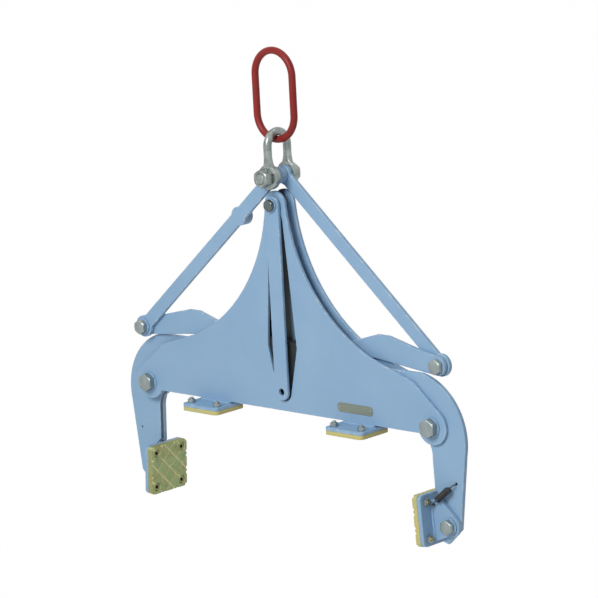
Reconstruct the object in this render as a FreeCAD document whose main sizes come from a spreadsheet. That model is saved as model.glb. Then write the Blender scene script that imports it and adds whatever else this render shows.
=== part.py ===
import FreeCAD, Part
import math
import os
import re
import Sketcher

# Lever lifting tongs. Millimetres and degrees. Heights in the size table are measured from the line
# through the two main pivots; the finished part hangs from its origin, the inside top of the master link.

os.makedirs("parts", exist_ok=True)
doc = FreeCAD.newDocument("lifting_tongs")
sheet = doc.addObject("Spreadsheet::Sheet", "sizes")

SIZES = {
    # body plates and layers
    "half_span": 345.0,
    "plate_thick": 6.0,
    "arm_thick": 8.0,
    "layer_gap": 0.8,
    "plate_end_radius": 32.0,
    "plate_drop": 14.0,
    "apex_height": 362.0,
    "apex_radius": 24.0,
    "side_radius": 311.0,
    "shoulder_in": 133.0,
    "shoulder_height": 106.0,
    "brow_in": 39.0,
    "brow_height": 75.0,
    "slot_top_radius": 16.5,
    "slot_top_below": 30.0,
    "slot_waist_half": 35.5,
    "slot_waist_height": 104.0,
    "slot_foot_height": 22.0,
    "slot_foot_radius": 17.0,
    # grip arms
    "lever_past": 5.0,
    "lever_height": 105.0,
    "lever_end_radius": 17.0,
    "neck_in": 48.0,
    "neck_rise": 26.0,
    "crest_in": 110.0,
    "crest_long": 27.0,
    "crest_rise": 41.0,
    "saddle_in": 200.0,
    "saddle_rise": 22.0,
    "belly_in": 145.0,
    "belly_dip": 1.0,
    "lever_root_in": 33.0,
    "lever_root_drop": 11.0,
    "throat_radius": 48.0,
    "throat_in": 7.0,
    "throat_drop": 57.0,
    "stop_back": 38.5,
    "stop_above": 59.0,
    "recess_gap": 5.0,
    "recess_above": 48.0,
    "hump_in": 23.0,
    "hump_long": 82.0,
    "hump_dip": 14.0,
    "back_radius": 116.0,
    "back_out": 66.5,
    "back_drop": 45.0,
    "heel_past": 16.5,
    "heel_below": 7.0,
    "toe_back": 13.0,
    "toe_below": 36.0,
    "toe_lift": 3.0,
    "strip_wide": 20.0,
    "strip_thick": 8.0,
    "strip_clear": 1.5,
    "strip_turn_in": 22.4,
    "strip_turn_out": 14.0,
    "strip_past": 5.0,
    # links and shackle
    "link_thick": 8.0,
    "link_half": 12.5,
    "link_top_radius": 17.0,
    "link_foot_radius": 20.0,
    "link_foot_play": 4.1,
    "boss_reach": 119.0,
    "boss_radius": 17.3,
    "boss_thick": 13.0,
    "link_clear": 1.09,
    "pin_radius": 9.5,
    "pin_nose": 19.0,
    "pin_nut_flats": 30.0,
    "pin_nut_high": 18.0,
    "pin_head_high": 10.0,
    "pin_spacer_radius": 15.0,
    "shackle_wire": 15.0,
    "ear_pinch": 2.0,
    "ear_past_link": 5.5,
    "shackle_leg": 53.3,
    "ring_wire": 13.0,
    "ring_long": 145.0,
    "ring_wide": 76.0,
    # swing bar
    "bar_thick": 6.0,
    "bar_half": 15.5,
    "bar_reach": 339.5,
    "bar_hole_radius": 6.5,
    "bar_off_plate": 2.2,
    "bush_flange_radius": 13.0,
    "journal_radius": 9.0,
    "apex_spacer_radius": 11.0,
    # grip pads
    "pad_pivot_out": 34.0,
    "pad_pivot_drop": 171.0,
    "pad_tilt": 3.9,
    "pad_size": 92.0,
    "pad_corner": 9.0,
    "pad_rubber": 11.0,
    "pad_steel": 8.0,
    "pad_setback": 38.0,
    "pad_rise": 11.0,
    "pad_bolt_pitch": 65.0,
    "lug_thick": 8.0,
    "lug_radius": 20.0,
    "lug_top": 45.0,
    "lug_shoulder": 16.0,
    "lug_foot": 30.0,
    # rest pads under the body
    "rest_offset": 176.0,
    "rest_long": 88.0,
    "rest_wide": 76.0,
    "rest_forward": 21.0,
    "rest_steel": 6.0,
    "rest_rubber": 7.5,
    "rest_pitch_long": 64.0,
    "rest_reach": 21.3,
    "rest_corner": 9.0,
    "tab_drop": 3.0,
    "tab_long": 74.0,
    # fasteners
    "pivot_bolt_radius": 10.0,
    "pivot_flats": 30.0,
    "pivot_head_high": 12.5,
    "pivot_nut_high": 16.0,
    "pivot_washer_radius": 18.5,
    "sleeve_radius": 14.0,
    "pivot_spacer_radius": 26.0,
    "joint_bolt_radius": 8.0,
    "joint_flats": 24.0,
    "joint_head_high": 10.0,
    "clip_radius": 12.0,
    "clip_thick": 1.5,
    "clip_groove": 0.8,
    "clip_mouth": 9.0,
    "clip_end": 2.0,
    "joint_washer_radius": 15.5,
    "washer_thick": 3.0,
    "apex_bolt_radius": 6.0,
    "apex_flats": 19.0,
    "apex_head_high": 7.5,
    "apex_nut_high": 10.0,
    "apex_washer_radius": 12.0,
    "small_bolt_radius": 4.0,
    "small_flats": 13.0,
    "small_head_high": 4.0,
    "small_head_radius": 6.5,
    "small_nut_high": 6.5,
    "head_room": 1.0,
    "sink_depth": 6.0,
    "rest_head_high": 4.0,
    "rest_sink": 5.0,
    "thread_end": 3.0,
    # springs
    "spring_coil_radius": 5.0,
    "spring_wire": 2.2,
    "spring_turns": 12.0,
    "spring_pitch": 3.0,
    "spring_lead": 9.5,
    "spring_arm_past": 10.5,
    "spring_arm_above": 75.0,
    "spring_lug_in": 32.0,
    "spring_lug_up": 36.0,
    "spring_hole_radius": 2.6,
    # bare plate
    "badge_from": 128.0,
    "badge_long": 83.0,
    "badge_low": 2.0,
    "badge_high": 17.0,
    "badge_corner": 7.0,
    "badge_thick": 1.0,
    "rivet_radius": 1.6,
    "rivet_high": 0.9,
    "rivet_inset": 5.0,
    # clearances
    "run_gap": 0.06,
    "bolt_gap": 0.3,
    "thread_gap": 0.1,
    "seat_gap": 0.3,
}

DERIVED = {
    "arm_face": "layer_gap / 2 + arm_thick",
    "plate_inner": "arm_face + layer_gap",
    "plate_outer": "plate_inner + plate_thick",
    "link_outer": "plate_inner + link_thick",
    "lug_outer": "plate_inner + lug_thick",
    "lever_out": "half_span + lever_past",
    "shoulder_out": "half_span - shoulder_in",
    "brow_out": "half_span - brow_in",
    "slot_top_height": "apex_height - slot_top_below",
    "apex_over_lever": "apex_height - lever_height",
    "apex_to_link": "apex_radius + link_half + link_clear",
    "apex_to_lever": "sqrt(lever_out ^ 2 + apex_over_lever ^ 2 - apex_to_link ^ 2)",
    "pin_above_apex": "apex_to_link * (apex_to_link * apex_over_lever + lever_out * apex_to_lever)"
                      " / (lever_out ^ 2 - apex_to_link ^ 2)",
    "pin_height": "apex_height + pin_above_apex",
    "pad_pivot_x": "half_span + pad_pivot_out",
    "stop_x": "pad_pivot_x - stop_back",
    "stop_drop": "pad_pivot_drop - stop_above",
    "recess_x": "pad_pivot_x - pad_setback + small_nut_high + thread_end / 2 + recess_gap",
    "sink_radius": "small_head_radius + head_room",
    "rest_sink_radius": "small_flats / sqrt(3) + head_room",
    "rest_bolt_out": "plate_outer + small_flats / sqrt(3) + rest_reach - rest_forward",
    "strip_top_radius": "plate_end_radius + strip_clear",
    "clip_seat": "joint_bolt_radius - clip_groove",
    "shackle_half": "link_outer + layer_gap / 2",
    "shackle_ear_radius": "link_top_radius + ear_past_link",
    "shackle_ear_thick": "shackle_wire - ear_pinch",
    "shackle_outer": "shackle_half + shackle_ear_thick",
    "bow_radius": "shackle_half + shackle_wire / 2",
    "leg_start": "pin_nut_flats / sqrt(3) + head_room",
    "bow_height": "pin_height + shackle_leg",
    "ring_radius": "(ring_wide + ring_wire) / 2",
    "ring_straight": "ring_long - ring_wide",
    "ring_foot_height": "bow_height + bow_radius - shackle_wire / 2 - seat_gap",
    "hook_height": "ring_foot_height + ring_long",
    "pivot_z": "-hook_height",
    "bar_back": "plate_outer + bar_off_plate",
    "bar_front": "bar_back + bar_thick",
    "journal_end": "bar_front + layer_gap / 4",
    "rest_top": "plate_drop + tab_drop",
    "link_reach": "sqrt(lever_out ^ 2 + (pin_height - lever_height) ^ 2)",
    "link_lean": "atan2(lever_out; pin_height - lever_height) / 1 deg",
    "brow_gap": "sqrt((half_span - brow_out) ^ 2 + brow_height ^ 2)",
    "end_turn": "(atan2(brow_height; brow_out - half_span) - acos(plate_end_radius / brow_gap)) / 1 deg",
    "end_foot": "sqrt(plate_end_radius ^ 2 - plate_drop ^ 2)",
}

for row, (alias, size) in enumerate(SIZES.items(), 1):
    sheet.set("A%d" % row, alias)
    sheet.set("B%d" % row, str(size))
    sheet.setAlias("B%d" % row, alias)
for row, (alias, formula) in enumerate(DERIVED.items(), 1):
    sheet.set("D%d" % row, alias)
    sheet.set("E%d" % row, "=" + formula)
    sheet.setAlias("E%d" % row, alias)
doc.recompute()

NAMES = set(SIZES) | set(DERIVED)
NODES = {}


def full(text):
    return re.sub(r"[a-z_]+", lambda m: "sizes." + m.group(0) if m.group(0) in NAMES else m.group(0), text)


def number(text):
    result = sheet.evalExpression(text)
    return float(getattr(result, "Value", result))


def bind(obj, prop, text):
    obj.setExpression(prop, full(text))


def put(obj, x="0", y="0", z="0"):
    bind(obj, "Placement.Base.x", x)
    bind(obj, "Placement.Base.y", y)
    bind(obj, "Placement.Base.z", "pivot_z + (" + z + ")")


def turn(obj, axis, angle):
    obj.Placement.Rotation = FreeCAD.Rotation(FreeCAD.Vector(*axis), angle)


def pin_point(sketch, geo, pos, x, z):
    for kind, axis_geo, text in (("DistanceX", -2, x), ("DistanceY", -1, z)):
        if abs(number(text)) < 1e-6:
            sketch.addConstraint(Sketcher.Constraint("PointOnObject", geo, pos, axis_geo))
        else:
            index = sketch.addConstraint(Sketcher.Constraint(kind, -1, 1, geo, pos, number(text)))
            bind(sketch, "Constraints[%d]" % index, text)


def arc_between(start, end, radius, side):
    # side +1 turns left from start to end, -1 turns right; never more than half a circle
    mid = (start + end) * 0.5
    half = (end - start).Length / 2
    rise = math.sqrt(max(radius ** 2 - half ** 2, 0.0))
    along = (end - start).normalize()
    left = FreeCAD.Vector(-along.y, along.x, 0)
    centre = mid + left * rise * side
    circle = Part.Circle(centre, FreeCAD.Vector(0, 0, 1), radius)
    first, last = (start, end) if side > 0 else (end, start)
    return Part.ArcOfCircle(circle, circle.parameter(first), circle.parameter(last))


def outline(sketch, points):
    # each point: (x, z) then a line to the next one, or (x, z, radius, side) then an arc
    count = len(points)
    spots = [FreeCAD.Vector(number(p[0]), number(p[1]), 0) for p in points]
    ends = []
    for i, point in enumerate(points):
        start, end = spots[i], spots[(i + 1) % count]
        if len(point) == 2:
            geo = sketch.addGeometry(Part.LineSegment(start, end), False)
            ends.append((geo, 1, 2))
        else:
            geo = sketch.addGeometry(arc_between(start, end, number(point[2]), point[3]), False)
            ends.append((geo, 1, 2) if point[3] > 0 else (geo, 2, 1))
    for i, (geo, first, last) in enumerate(ends):
        follower = ends[(i + 1) % count]
        sketch.addConstraint(Sketcher.Constraint("Coincident", geo, last, follower[0], follower[1]))
    for (geo, first, last), point in zip(ends, points):
        pin_point(sketch, geo, first, point[0], point[1])
        if len(point) == 4:
            index = sketch.addConstraint(Sketcher.Constraint("Radius", geo, number(point[2])))
            bind(sketch, "Constraints[%d]" % index, point[2])


def circle(sketch, x, z, radius):
    spot = FreeCAD.Vector(number(x), number(z), 0)
    geo = sketch.addGeometry(Part.Circle(spot, FreeCAD.Vector(0, 0, 1), number(radius)), False)
    pin_point(sketch, geo, 3, x, z)
    index = sketch.addConstraint(Sketcher.Constraint("Radius", geo, number(radius)))
    bind(sketch, "Constraints[%d]" % index, radius)


def new_sketch(body, name, plane, offset="0"):
    sketch = body.newObject("Sketcher::SketchObject", name)
    support = [feature for feature in body.Origin.OriginFeatures if feature.Role == plane]
    sketch.AttachmentSupport = [(support[0], "")]
    sketch.MapMode = "FlatFace"
    bind(sketch, "AttachmentOffset.Base.z", offset)
    return sketch


# pads on the first plane run to -Y, on the second to +X, on the third to +Z
FACING = "XZ_Plane"
SIDEWAYS = "YZ_Plane"
LEVEL = "XY_Plane"


def plate(name, plane, wires, holes, thick, offset="0"):
    body = doc.addObject("PartDesign::Body", name)
    sketch = new_sketch(body, name + "_sketch", plane, offset)
    for wire in wires:
        outline(sketch, wire)
    for hole in holes:
        circle(sketch, *hole)
    pad = body.newObject("PartDesign::Pad", name + "_pad")
    pad.Profile = sketch
    bind(pad, "Length", thick)
    return body


def sink(body, name, plane, holes, depth, offset, reverse):
    sketch = new_sketch(body, name + "_sketch", plane, offset)
    for hole in holes:
        circle(sketch, *hole)
    pocket = body.newObject("PartDesign::Pocket", name)
    pocket.Profile = sketch
    pocket.Reversed = reverse
    bind(pocket, "Length", depth)
    return body


def add_pad(body, name, plane, wires, holes, thick, offset):
    sketch = new_sketch(body, name + "_sketch", plane, offset)
    for wire in wires:
        outline(sketch, wire)
    for hole in holes:
        circle(sketch, *hole)
    pad = body.newObject("PartDesign::Pad", name)
    pad.Profile = sketch
    bind(pad, "Length", thick)
    return pad


def rounded(wide, high, corner, centre_z="0"):
    w = "(" + wide + ") / 2"
    h = "(" + high + ") / 2"
    c = corner
    up = "(" + centre_z + ") + "
    return [
        (w, up + "%s - %s" % (h, c), c, 1),
        ("%s - %s" % (w, c), up + h),
        ("-(%s - %s)" % (w, c), up + h, c, 1),
        ("-(%s)" % w, up + "%s - %s" % (h, c)),
        ("-(%s)" % w, up + "-(%s - %s)" % (h, c), c, 1),
        ("-(%s - %s)" % (w, c), up + "-(%s)" % h),
        ("%s - %s" % (w, c), up + "-(%s)" % h, c, 1),
        (w, up + "-(%s - %s)" % (h, c)),
    ]


def cylinder(name, radius, high):
    obj = doc.addObject("Part::Cylinder", name)
    bind(obj, "Radius", radius)
    bind(obj, "Height", high)
    return obj


def lift(obj, text):
    bind(obj, "Placement.Base.z", text)
    return obj


def prism(name, flats, high):
    obj = doc.addObject("Part::Prism", name)
    obj.Polygon = 6
    bind(obj, "Circumradius", "(%s) / sqrt(3)" % flats)
    bind(obj, "Height", high)
    return obj


def cut(name, base, tool):
    obj = doc.addObject("Part::Cut", name)
    obj.Base = base
    obj.Tool = tool
    return obj


def fuse(name, pieces):
    obj = doc.addObject("Part::MultiFuse", name)
    obj.Shapes = pieces
    obj.Refine = True
    return obj


def group(name, pieces):
    obj = doc.addObject("Part::Compound", name)
    obj.Links = pieces
    return obj


def crowned(name, flats, high, far=False):
    # hex with the corners turned off at its start, as on bolt heads, or at its far end, as on nuts
    block = prism(name + "_hex", flats, high)
    cone = doc.addObject("Part::Cone", name + "_crown")
    bind(cone, "Radius1", "(%s) * 0.49 + (%s) * 2" % (flats, high))
    bind(cone, "Radius2", "(%s) * 0.49" % flats)
    bind(cone, "Height", high)
    if not far:
        turn(cone, (1, 0, 0), 180)
        bind(cone, "Placement.Base.z", high)
    head = doc.addObject("Part::MultiCommon", name + "_head")
    head.Shapes = [block, cone]
    return head


def hex_bolt(name, radius, flats, high, shank):
    # head from 0 to its height, shank beyond it, along local Z
    head = crowned(name, flats, high)
    body = lift(cylinder(name + "_shank", radius, shank), high)
    return fuse(name, [head, body])


def hex_nut(name, radius, flats, high):
    return cut(name, crowned(name, flats, high, True), cylinder(name + "_bore", radius, high))


def ring(name, outer, inner, high):
    return cut(name, cylinder(name + "_rim", outer, high), cylinder(name + "_bore", inner, high))


def along_y(obj, x, y, z, forward=True):
    # forward: local Z becomes +Y and the piece starts at its front; otherwise local Z becomes -Y
    turn(obj, (1, 0, 0), -90 if forward else 90)
    put(obj, x, y, z)
    return obj


def tilted(obj, side, x, y, z):
    # a piece of a grip pad: built about the pad pivot, tilted, and turned half round for the left pad
    obj.Placement.Rotation = FreeCAD.Rotation(0 if side > 0 else 180, 0, 0)
    bind(obj, "Placement.Rotation.Pitch", "-pad_tilt * 1 deg")
    put(obj, x, y, z)
    return obj


def keep(name, obj):
    NODES[name] = obj
    return obj


# body plates
right_side = [
    ("apex_radius", "apex_height", "side_radius", 1),
    ("shoulder_out", "shoulder_height"),
    ("brow_out", "brow_height"),
    ("half_span + plate_end_radius * cos(end_turn * 1 deg)",
     "plate_end_radius * sin(end_turn * 1 deg)", "plate_end_radius", -1),
    ("half_span + plate_end_radius * cos(50 deg)", "-plate_end_radius * sin(50 deg)",
     "plate_end_radius", -1),
    ("half_span - end_foot", "-plate_drop"),
    ("rest_offset + tab_long / 2", "-plate_drop"),
    ("rest_offset + tab_long / 2", "-rest_top"),
    ("rest_offset - tab_long / 2", "-rest_top"),
    ("rest_offset - tab_long / 2", "-plate_drop"),
]
left_points = [("-(%s)" % p[0], p[1]) for p in right_side]
left_side = []
for index in range(len(right_side) - 1, -1, -1):
    edge = right_side[index - 1] if index > 0 else ("", "", "apex_radius", -1)
    left_side.append(left_points[index] + (tuple(edge[2:]) if len(edge) == 4 else ()))
plate_outline = [("0", "apex_height + apex_radius", "apex_radius", -1)] + right_side + left_side

slot = [
    ("slot_top_radius", "slot_top_height"),
    ("slot_waist_half", "slot_waist_height"),
    ("slot_foot_radius", "slot_foot_height", "slot_foot_radius", -1),
    ("0", "slot_foot_height - slot_foot_radius", "slot_foot_radius", -1),
    ("-slot_foot_radius", "slot_foot_height"),
    ("-slot_waist_half", "slot_waist_height"),
    ("-slot_top_radius", "slot_top_height", "slot_top_radius", -1),
    ("0", "slot_top_height + slot_top_radius", "slot_top_radius", -1),
]
pivot_holes = [
    ("half_span", "0", "pivot_bolt_radius + bolt_gap"),
    ("-half_span", "0", "pivot_bolt_radius + bolt_gap"),
]

front_plate = plate("front_plate", FACING, [plate_outline, slot],
                    pivot_holes + [("0", "apex_height", "apex_bolt_radius + bolt_gap")], "plate_thick")
put(keep("front_plate", front_plate), y="-plate_inner")
back_plate = plate("back_plate", FACING, [plate_outline],
                   pivot_holes + [("0", "apex_height", "apex_bolt_radius + bolt_gap")], "plate_thick")
put(keep("back_plate", back_plate), y="plate_outer")

# main pivots: a bolt clamps both plates on a sleeve, the arm turns on the sleeve beside a spacer ring
bolts, washers, nuts, sleeves, spacers = [], [], [], [], []
for tag, x in (("left", "-half_span"), ("right", "half_span")):
    sleeve = ring(tag + "_sleeve", "sleeve_radius", "pivot_bolt_radius + bolt_gap", "2 * plate_inner")
    sleeves.append(along_y(sleeve, x, "-plate_inner", "0"))
    spacer = ring(tag + "_pivot_spacer", "pivot_spacer_radius", "sleeve_radius + bolt_gap", "arm_thick")
    spacers.append(along_y(spacer, x, "-arm_face" if tag == "left" else "layer_gap / 2", "0"))
    bolt = hex_bolt(tag + "_pivot_bolt", "pivot_bolt_radius", "pivot_flats", "pivot_head_high",
                    "2 * plate_outer + 2 * washer_thick + pivot_nut_high + thread_end")
    bolts.append(along_y(bolt, x, "-plate_outer - washer_thick - pivot_head_high", "0"))
    for place, y in (("front", "-plate_outer - washer_thick"), ("back", "plate_outer")):
        disc = ring(tag + "_pivot_washer_" + place, "pivot_washer_radius", "pivot_bolt_radius + bolt_gap",
                    "washer_thick")
        washers.append(along_y(disc, x, y, "0"))
    nut = hex_nut(tag + "_pivot_nut", "pivot_bolt_radius + thread_gap", "pivot_flats", "pivot_nut_high")
    nuts.append(along_y(nut, x, "plate_outer + washer_thick", "0"))
keep("pivot_sleeves", group("pivot_sleeves", sleeves))
keep("pivot_spacers", group("pivot_spacers", spacers))
keep("pivot_bolts", group("pivot_bolts", bolts))
keep("pivot_washers", group("pivot_washers", washers))
keep("pivot_nuts", group("pivot_nuts", nuts))

# swing bar on a flanged bush at the top of the body
bar = plate("swing_bar", FACING, [[
    ("bar_half", "apex_height", "bar_half", 1),
    ("0", "apex_height + bar_half", "bar_half", 1),
    ("-bar_half", "apex_height"),
    ("-bar_half", "apex_height - bar_reach", "bar_half", 1),
    ("0", "apex_height - bar_reach - bar_half", "bar_half", 1),
    ("bar_half", "apex_height - bar_reach"),
]], [
    ("0", "apex_height", "journal_radius + run_gap"),
    ("0", "apex_height - bar_reach", "bar_hole_radius"),
], "bar_thick")
put(keep("swing_bar", bar), y="-bar_back")
flange_thick = "(bar_off_plate - layer_gap / 4)"
journal = cylinder("bush_journal", "journal_radius", "journal_end - plate_outer")
flange = lift(cylinder("bush_flange", "bush_flange_radius", flange_thick),
              "journal_end - plate_outer - " + flange_thick)
bush = cut("bar_bush", fuse("bush_solid", [journal, flange]),
           cylinder("bush_bore", "apex_bolt_radius + bolt_gap", "journal_end - plate_outer"))
keep("bar_bush", along_y(bush, "0", "-journal_end", "apex_height"))
apex_spacer = ring("apex_spacer", "apex_spacer_radius", "apex_bolt_radius + bolt_gap", "2 * plate_inner")
keep("apex_spacer", along_y(apex_spacer, "0", "-plate_inner", "apex_height"))
apex_bolt = hex_bolt("apex_bolt", "apex_bolt_radius", "apex_flats", "apex_head_high",
                     "journal_end + plate_outer + 2 * washer_thick + apex_nut_high + thread_end")
keep("apex_bolt", along_y(apex_bolt, "0", "-journal_end - washer_thick - apex_head_high", "apex_height"))
apex_discs = []
for place, y in (("front", "-journal_end - washer_thick"), ("back", "plate_outer")):
    disc = ring("apex_washer_" + place, "apex_washer_radius", "apex_bolt_radius + bolt_gap", "washer_thick")
    apex_discs.append(along_y(disc, "0", y, "apex_height"))
keep("apex_washers", group("apex_washers", apex_discs))
apex_nut = hex_nut("apex_nut", "apex_bolt_radius + thread_gap", "apex_flats", "apex_nut_high")
keep("apex_nut", along_y(apex_nut, "0", "plate_outer + washer_thick", "apex_height"))

# grip arms, the same plate twice, turned half round, each with a stiffener welded behind its inner edge
arm_outline = [
    ("recess_x", "-pad_pivot_drop - toe_below + toe_lift"),
    ("recess_x", "-pad_pivot_drop + recess_above"),
    ("stop_x", "-stop_drop"),
    ("half_span - throat_in", "-throat_drop", "throat_radius", 1),
    ("half_span - lever_root_in", "-lever_root_drop"),
    ("-lever_out + belly_in", "lever_height - belly_dip"),
    ("-lever_out", "lever_height - lever_end_radius", "lever_end_radius", -1),
    ("-lever_out - lever_end_radius", "lever_height", "lever_end_radius", -1),
    ("-lever_out", "lever_height + lever_end_radius"),
    ("-lever_out + neck_in", "lever_height + neck_rise"),
    ("-lever_out + crest_in", "lever_height + crest_rise"),
    ("-lever_out + crest_in + crest_long", "lever_height + crest_rise"),
    ("-lever_out + saddle_in", "lever_height + saddle_rise"),
    ("half_span - hump_in - hump_long", "lever_height - hump_dip"),
    ("half_span - hump_in", "lever_height - hump_dip", "back_radius", -1),
    ("half_span + back_out", "-back_drop"),
    ("pad_pivot_x + heel_past", "-pad_pivot_drop - heel_below"),
    ("pad_pivot_x - toe_back", "-pad_pivot_drop - toe_below"),
]
arm_holes = [
    ("half_span", "0", "sleeve_radius + run_gap"),
    ("-lever_out", "lever_height", "joint_bolt_radius + bolt_gap"),
    ("pad_pivot_x", "-pad_pivot_drop", "joint_bolt_radius + thread_gap"),
    ("pad_pivot_x + spring_arm_past", "-pad_pivot_drop + spring_arm_above", "spring_hole_radius"),
]
strip_outline = [
    ("stop_x", "-stop_drop - strip_past"),
    ("stop_x", "-stop_drop"),
    ("half_span - throat_in", "-throat_drop", "throat_radius", 1),
    ("half_span - strip_top_radius * sin(strip_turn_in * 1 deg)",
     "-strip_top_radius * cos(strip_turn_in * 1 deg)", "strip_top_radius", 1),
    ("half_span + strip_top_radius * sin(strip_turn_out * 1 deg)",
     "-strip_top_radius * cos(strip_turn_out * 1 deg)"),
    ("stop_x + strip_wide", "-throat_drop"),
    ("stop_x + strip_wide", "-stop_drop - strip_past"),
]
for tag, side in (("right", 1), ("left", -1)):
    arm = plate(tag + "_arm", FACING, [arm_outline], arm_holes, "arm_thick")
    turn(arm, (0, 0, 1), 0 if side > 0 else 180)
    put(keep(tag + "_arm", arm), y="-layer_gap / 2" if side > 0 else "layer_gap / 2")
    strip = plate(tag + "_arm_strip", FACING, [strip_outline], [], "strip_thick")
    turn(strip, (0, 0, 1), 0 if side > 0 else 180)
    put(keep(tag + "_arm_strip", strip), y="strip_thick - layer_gap / 2" if side > 0 else "arm_face")

# lever-end bolts, heads in front, a snap ring in a groove behind: the left one rides on the right arm,
# the right one on the left arm
lever_shank = "link_outer + washer_thick + clip_thick + clip_end"
for tag, x, head_y, washer_y, clip_y in (
    ("left", "-lever_out", "-link_outer - layer_gap / 2 - washer_thick - joint_head_high",
     "-link_outer - layer_gap / 2 - washer_thick", "-layer_gap / 2"),
    ("right", "lever_out", "layer_gap / 2 - joint_head_high",
     "link_outer + layer_gap / 2", "link_outer + layer_gap / 2 + washer_thick"),
):
    blank = hex_bolt(tag + "_lever_blank", "joint_bolt_radius", "joint_flats", "joint_head_high", lever_shank)
    groove = lift(ring(tag + "_lever_groove", "joint_bolt_radius + clip_groove", "clip_seat", "clip_thick"),
                  "joint_head_high + %s - clip_thick - clip_end" % lever_shank)
    bolt = cut(tag + "_lever_bolt", blank, groove)
    keep(tag + "_lever_bolt", along_y(bolt, x, head_y, "lever_height"))
    disc = ring(tag + "_lever_washer", "joint_washer_radius", "joint_bolt_radius + bolt_gap", "washer_thick")
    keep(tag + "_lever_washer", along_y(disc, x, washer_y, "lever_height"))
    mouth = doc.addObject("Part::Box", tag + "_clip_mouth")
    bind(mouth, "Length", "clip_mouth")
    bind(mouth, "Width", "clip_radius + clip_groove")
    bind(mouth, "Height", "clip_thick")
    bind(mouth, "Placement.Base.x", "-clip_mouth / 2")
    whole = ring(tag + "_clip_ring", "clip_radius", "clip_seat + thread_gap", "clip_thick")
    clip = cut(tag + "_lever_clip", whole, mouth)
    keep(tag + "_lever_clip", along_y(clip, x, clip_y, "lever_height"))

# link bars, drawn hanging straight down from the shackle pin and then leaned out to the lever ends;
# the left one widens round a boss on its back
top_ease = "sqrt(link_top_radius ^ 2 - link_half ^ 2)"
foot_ease = "sqrt(link_foot_radius ^ 2 - link_half ^ 2)"
boss_ease = "sqrt(boss_radius ^ 2 - link_half ^ 2)"
link_head = [
    ("link_half", "-" + top_ease, "link_top_radius", 1),
    ("link_top_radius", "0", "link_top_radius", 1),
    ("0", "link_top_radius", "link_top_radius", 1),
    ("-link_top_radius", "0", "link_top_radius", 1),
    ("-link_half", "-" + top_ease),
]
link_foot = [
    ("-link_half", "-link_reach + " + foot_ease, "link_foot_radius", 1),
    ("-link_foot_radius", "-link_reach", "link_foot_radius", 1),
    ("0", "-link_reach - link_foot_radius", "link_foot_radius", 1),
    ("link_foot_radius", "-link_reach", "link_foot_radius", 1),
    ("link_half", "-link_reach + " + foot_ease),
]
boss_left = [
    ("-link_half", "-boss_reach + " + boss_ease, "boss_radius", 1),
    ("-link_half", "-boss_reach - " + boss_ease),
]
boss_right = [
    ("link_half", "-boss_reach - " + boss_ease, "boss_radius", 1),
    ("link_half", "-boss_reach + " + boss_ease),
]
link_holes = [
    ("0", "0", "pin_radius + run_gap"),
    ("0", "-link_reach", "joint_bolt_radius + link_foot_play"),
]
for tag, side, link_outline in (("left", 1, link_head + boss_left + link_foot + boss_right),
                                ("right", -1, link_head + link_foot)):
    link = plate(tag + "_link", FACING, [link_outline], link_holes, "link_thick")
    turn(link, (0, side, 0), 45)
    bind(link, "Placement.Rotation.Angle", "link_lean * 1 deg")
    put(keep(tag + "_link", link), y="-plate_inner" if side > 0 else "link_outer", z="pin_height")
boss = cylinder("link_boss", "boss_radius", "boss_thick")
keep("link_boss", along_y(boss, "-boss_reach * sin(link_lean * 1 deg)", "-plate_inner",
                          "pin_height - boss_reach * cos(link_lean * 1 deg)"))

# shackle pin with its nut in front, spacer between the link eyes
pin = hex_bolt("shackle_pin", "pin_radius", "pin_nut_flats", "pin_head_high",
               "2 * shackle_outer + seat_gap + pin_nose")
keep("shackle_pin", along_y(pin, "0", "shackle_outer + seat_gap + pin_head_high", "pin_height", False))
pin_nut = hex_nut("shackle_nut", "pin_radius + thread_gap", "pin_nut_flats", "pin_nut_high")
keep("shackle_nut", along_y(pin_nut, "0", "-shackle_outer - seat_gap", "pin_height", False))
pin_spacer = ring("pin_spacer", "pin_spacer_radius", "pin_radius + bolt_gap", "2 * (plate_inner - seat_gap)")
keep("pin_spacer", along_y(pin_spacer, "0", "-plate_inner + seat_gap", "pin_height"))

# shackle bow
pieces = []
for tag, sign, y in (("front", "-", "-shackle_outer"), ("back", "", "shackle_half")):
    ear = cylinder("shackle_ear_" + tag, "shackle_ear_radius", "shackle_ear_thick")
    pieces.append(along_y(ear, "0", y, "pin_height"))
    leg = cylinder("shackle_leg_" + tag, "shackle_wire / 2", "shackle_leg - leg_start")
    put(leg, "0", sign + "bow_radius", "pin_height + leg_start")
    pieces.append(leg)
bow = doc.addObject("Part::Torus", "shackle_crown")
bind(bow, "Radius1", "bow_radius")
bind(bow, "Radius2", "shackle_wire / 2")
bow.Angle3 = 180
turn(bow, (1, 1, 1), 120)
put(bow, "0", "0", "bow_height")
pieces.append(bow)
shackle_bore = cylinder("shackle_bore", "pin_radius + run_gap", "2 * shackle_outer")
along_y(shackle_bore, "0", "-shackle_outer", "pin_height")
keep("shackle_bow", cut("shackle_bow", fuse("shackle_solid", pieces), shackle_bore))

# master link
pieces = []
for tag, angle, z in (("top", 90, "ring_foot_height + ring_long - ring_wide / 2"),
                      ("foot", -90, "ring_foot_height + ring_wide / 2")):
    end = doc.addObject("Part::Torus", "ring_" + tag)
    bind(end, "Radius1", "ring_radius")
    bind(end, "Radius2", "ring_wire / 2")
    end.Angle3 = 180
    turn(end, (1, 0, 0), angle)
    put(end, "0", "0", z)
    pieces.append(end)
for tag, sign in (("left", "-"), ("right", "")):
    side_bar = cylinder("ring_" + tag, "ring_wire / 2", "ring_straight")
    put(side_bar, sign + "ring_radius", "0", "ring_foot_height + ring_wide / 2")
    pieces.append(side_bar)
keep("master_link", fuse("master_link", pieces))

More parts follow.
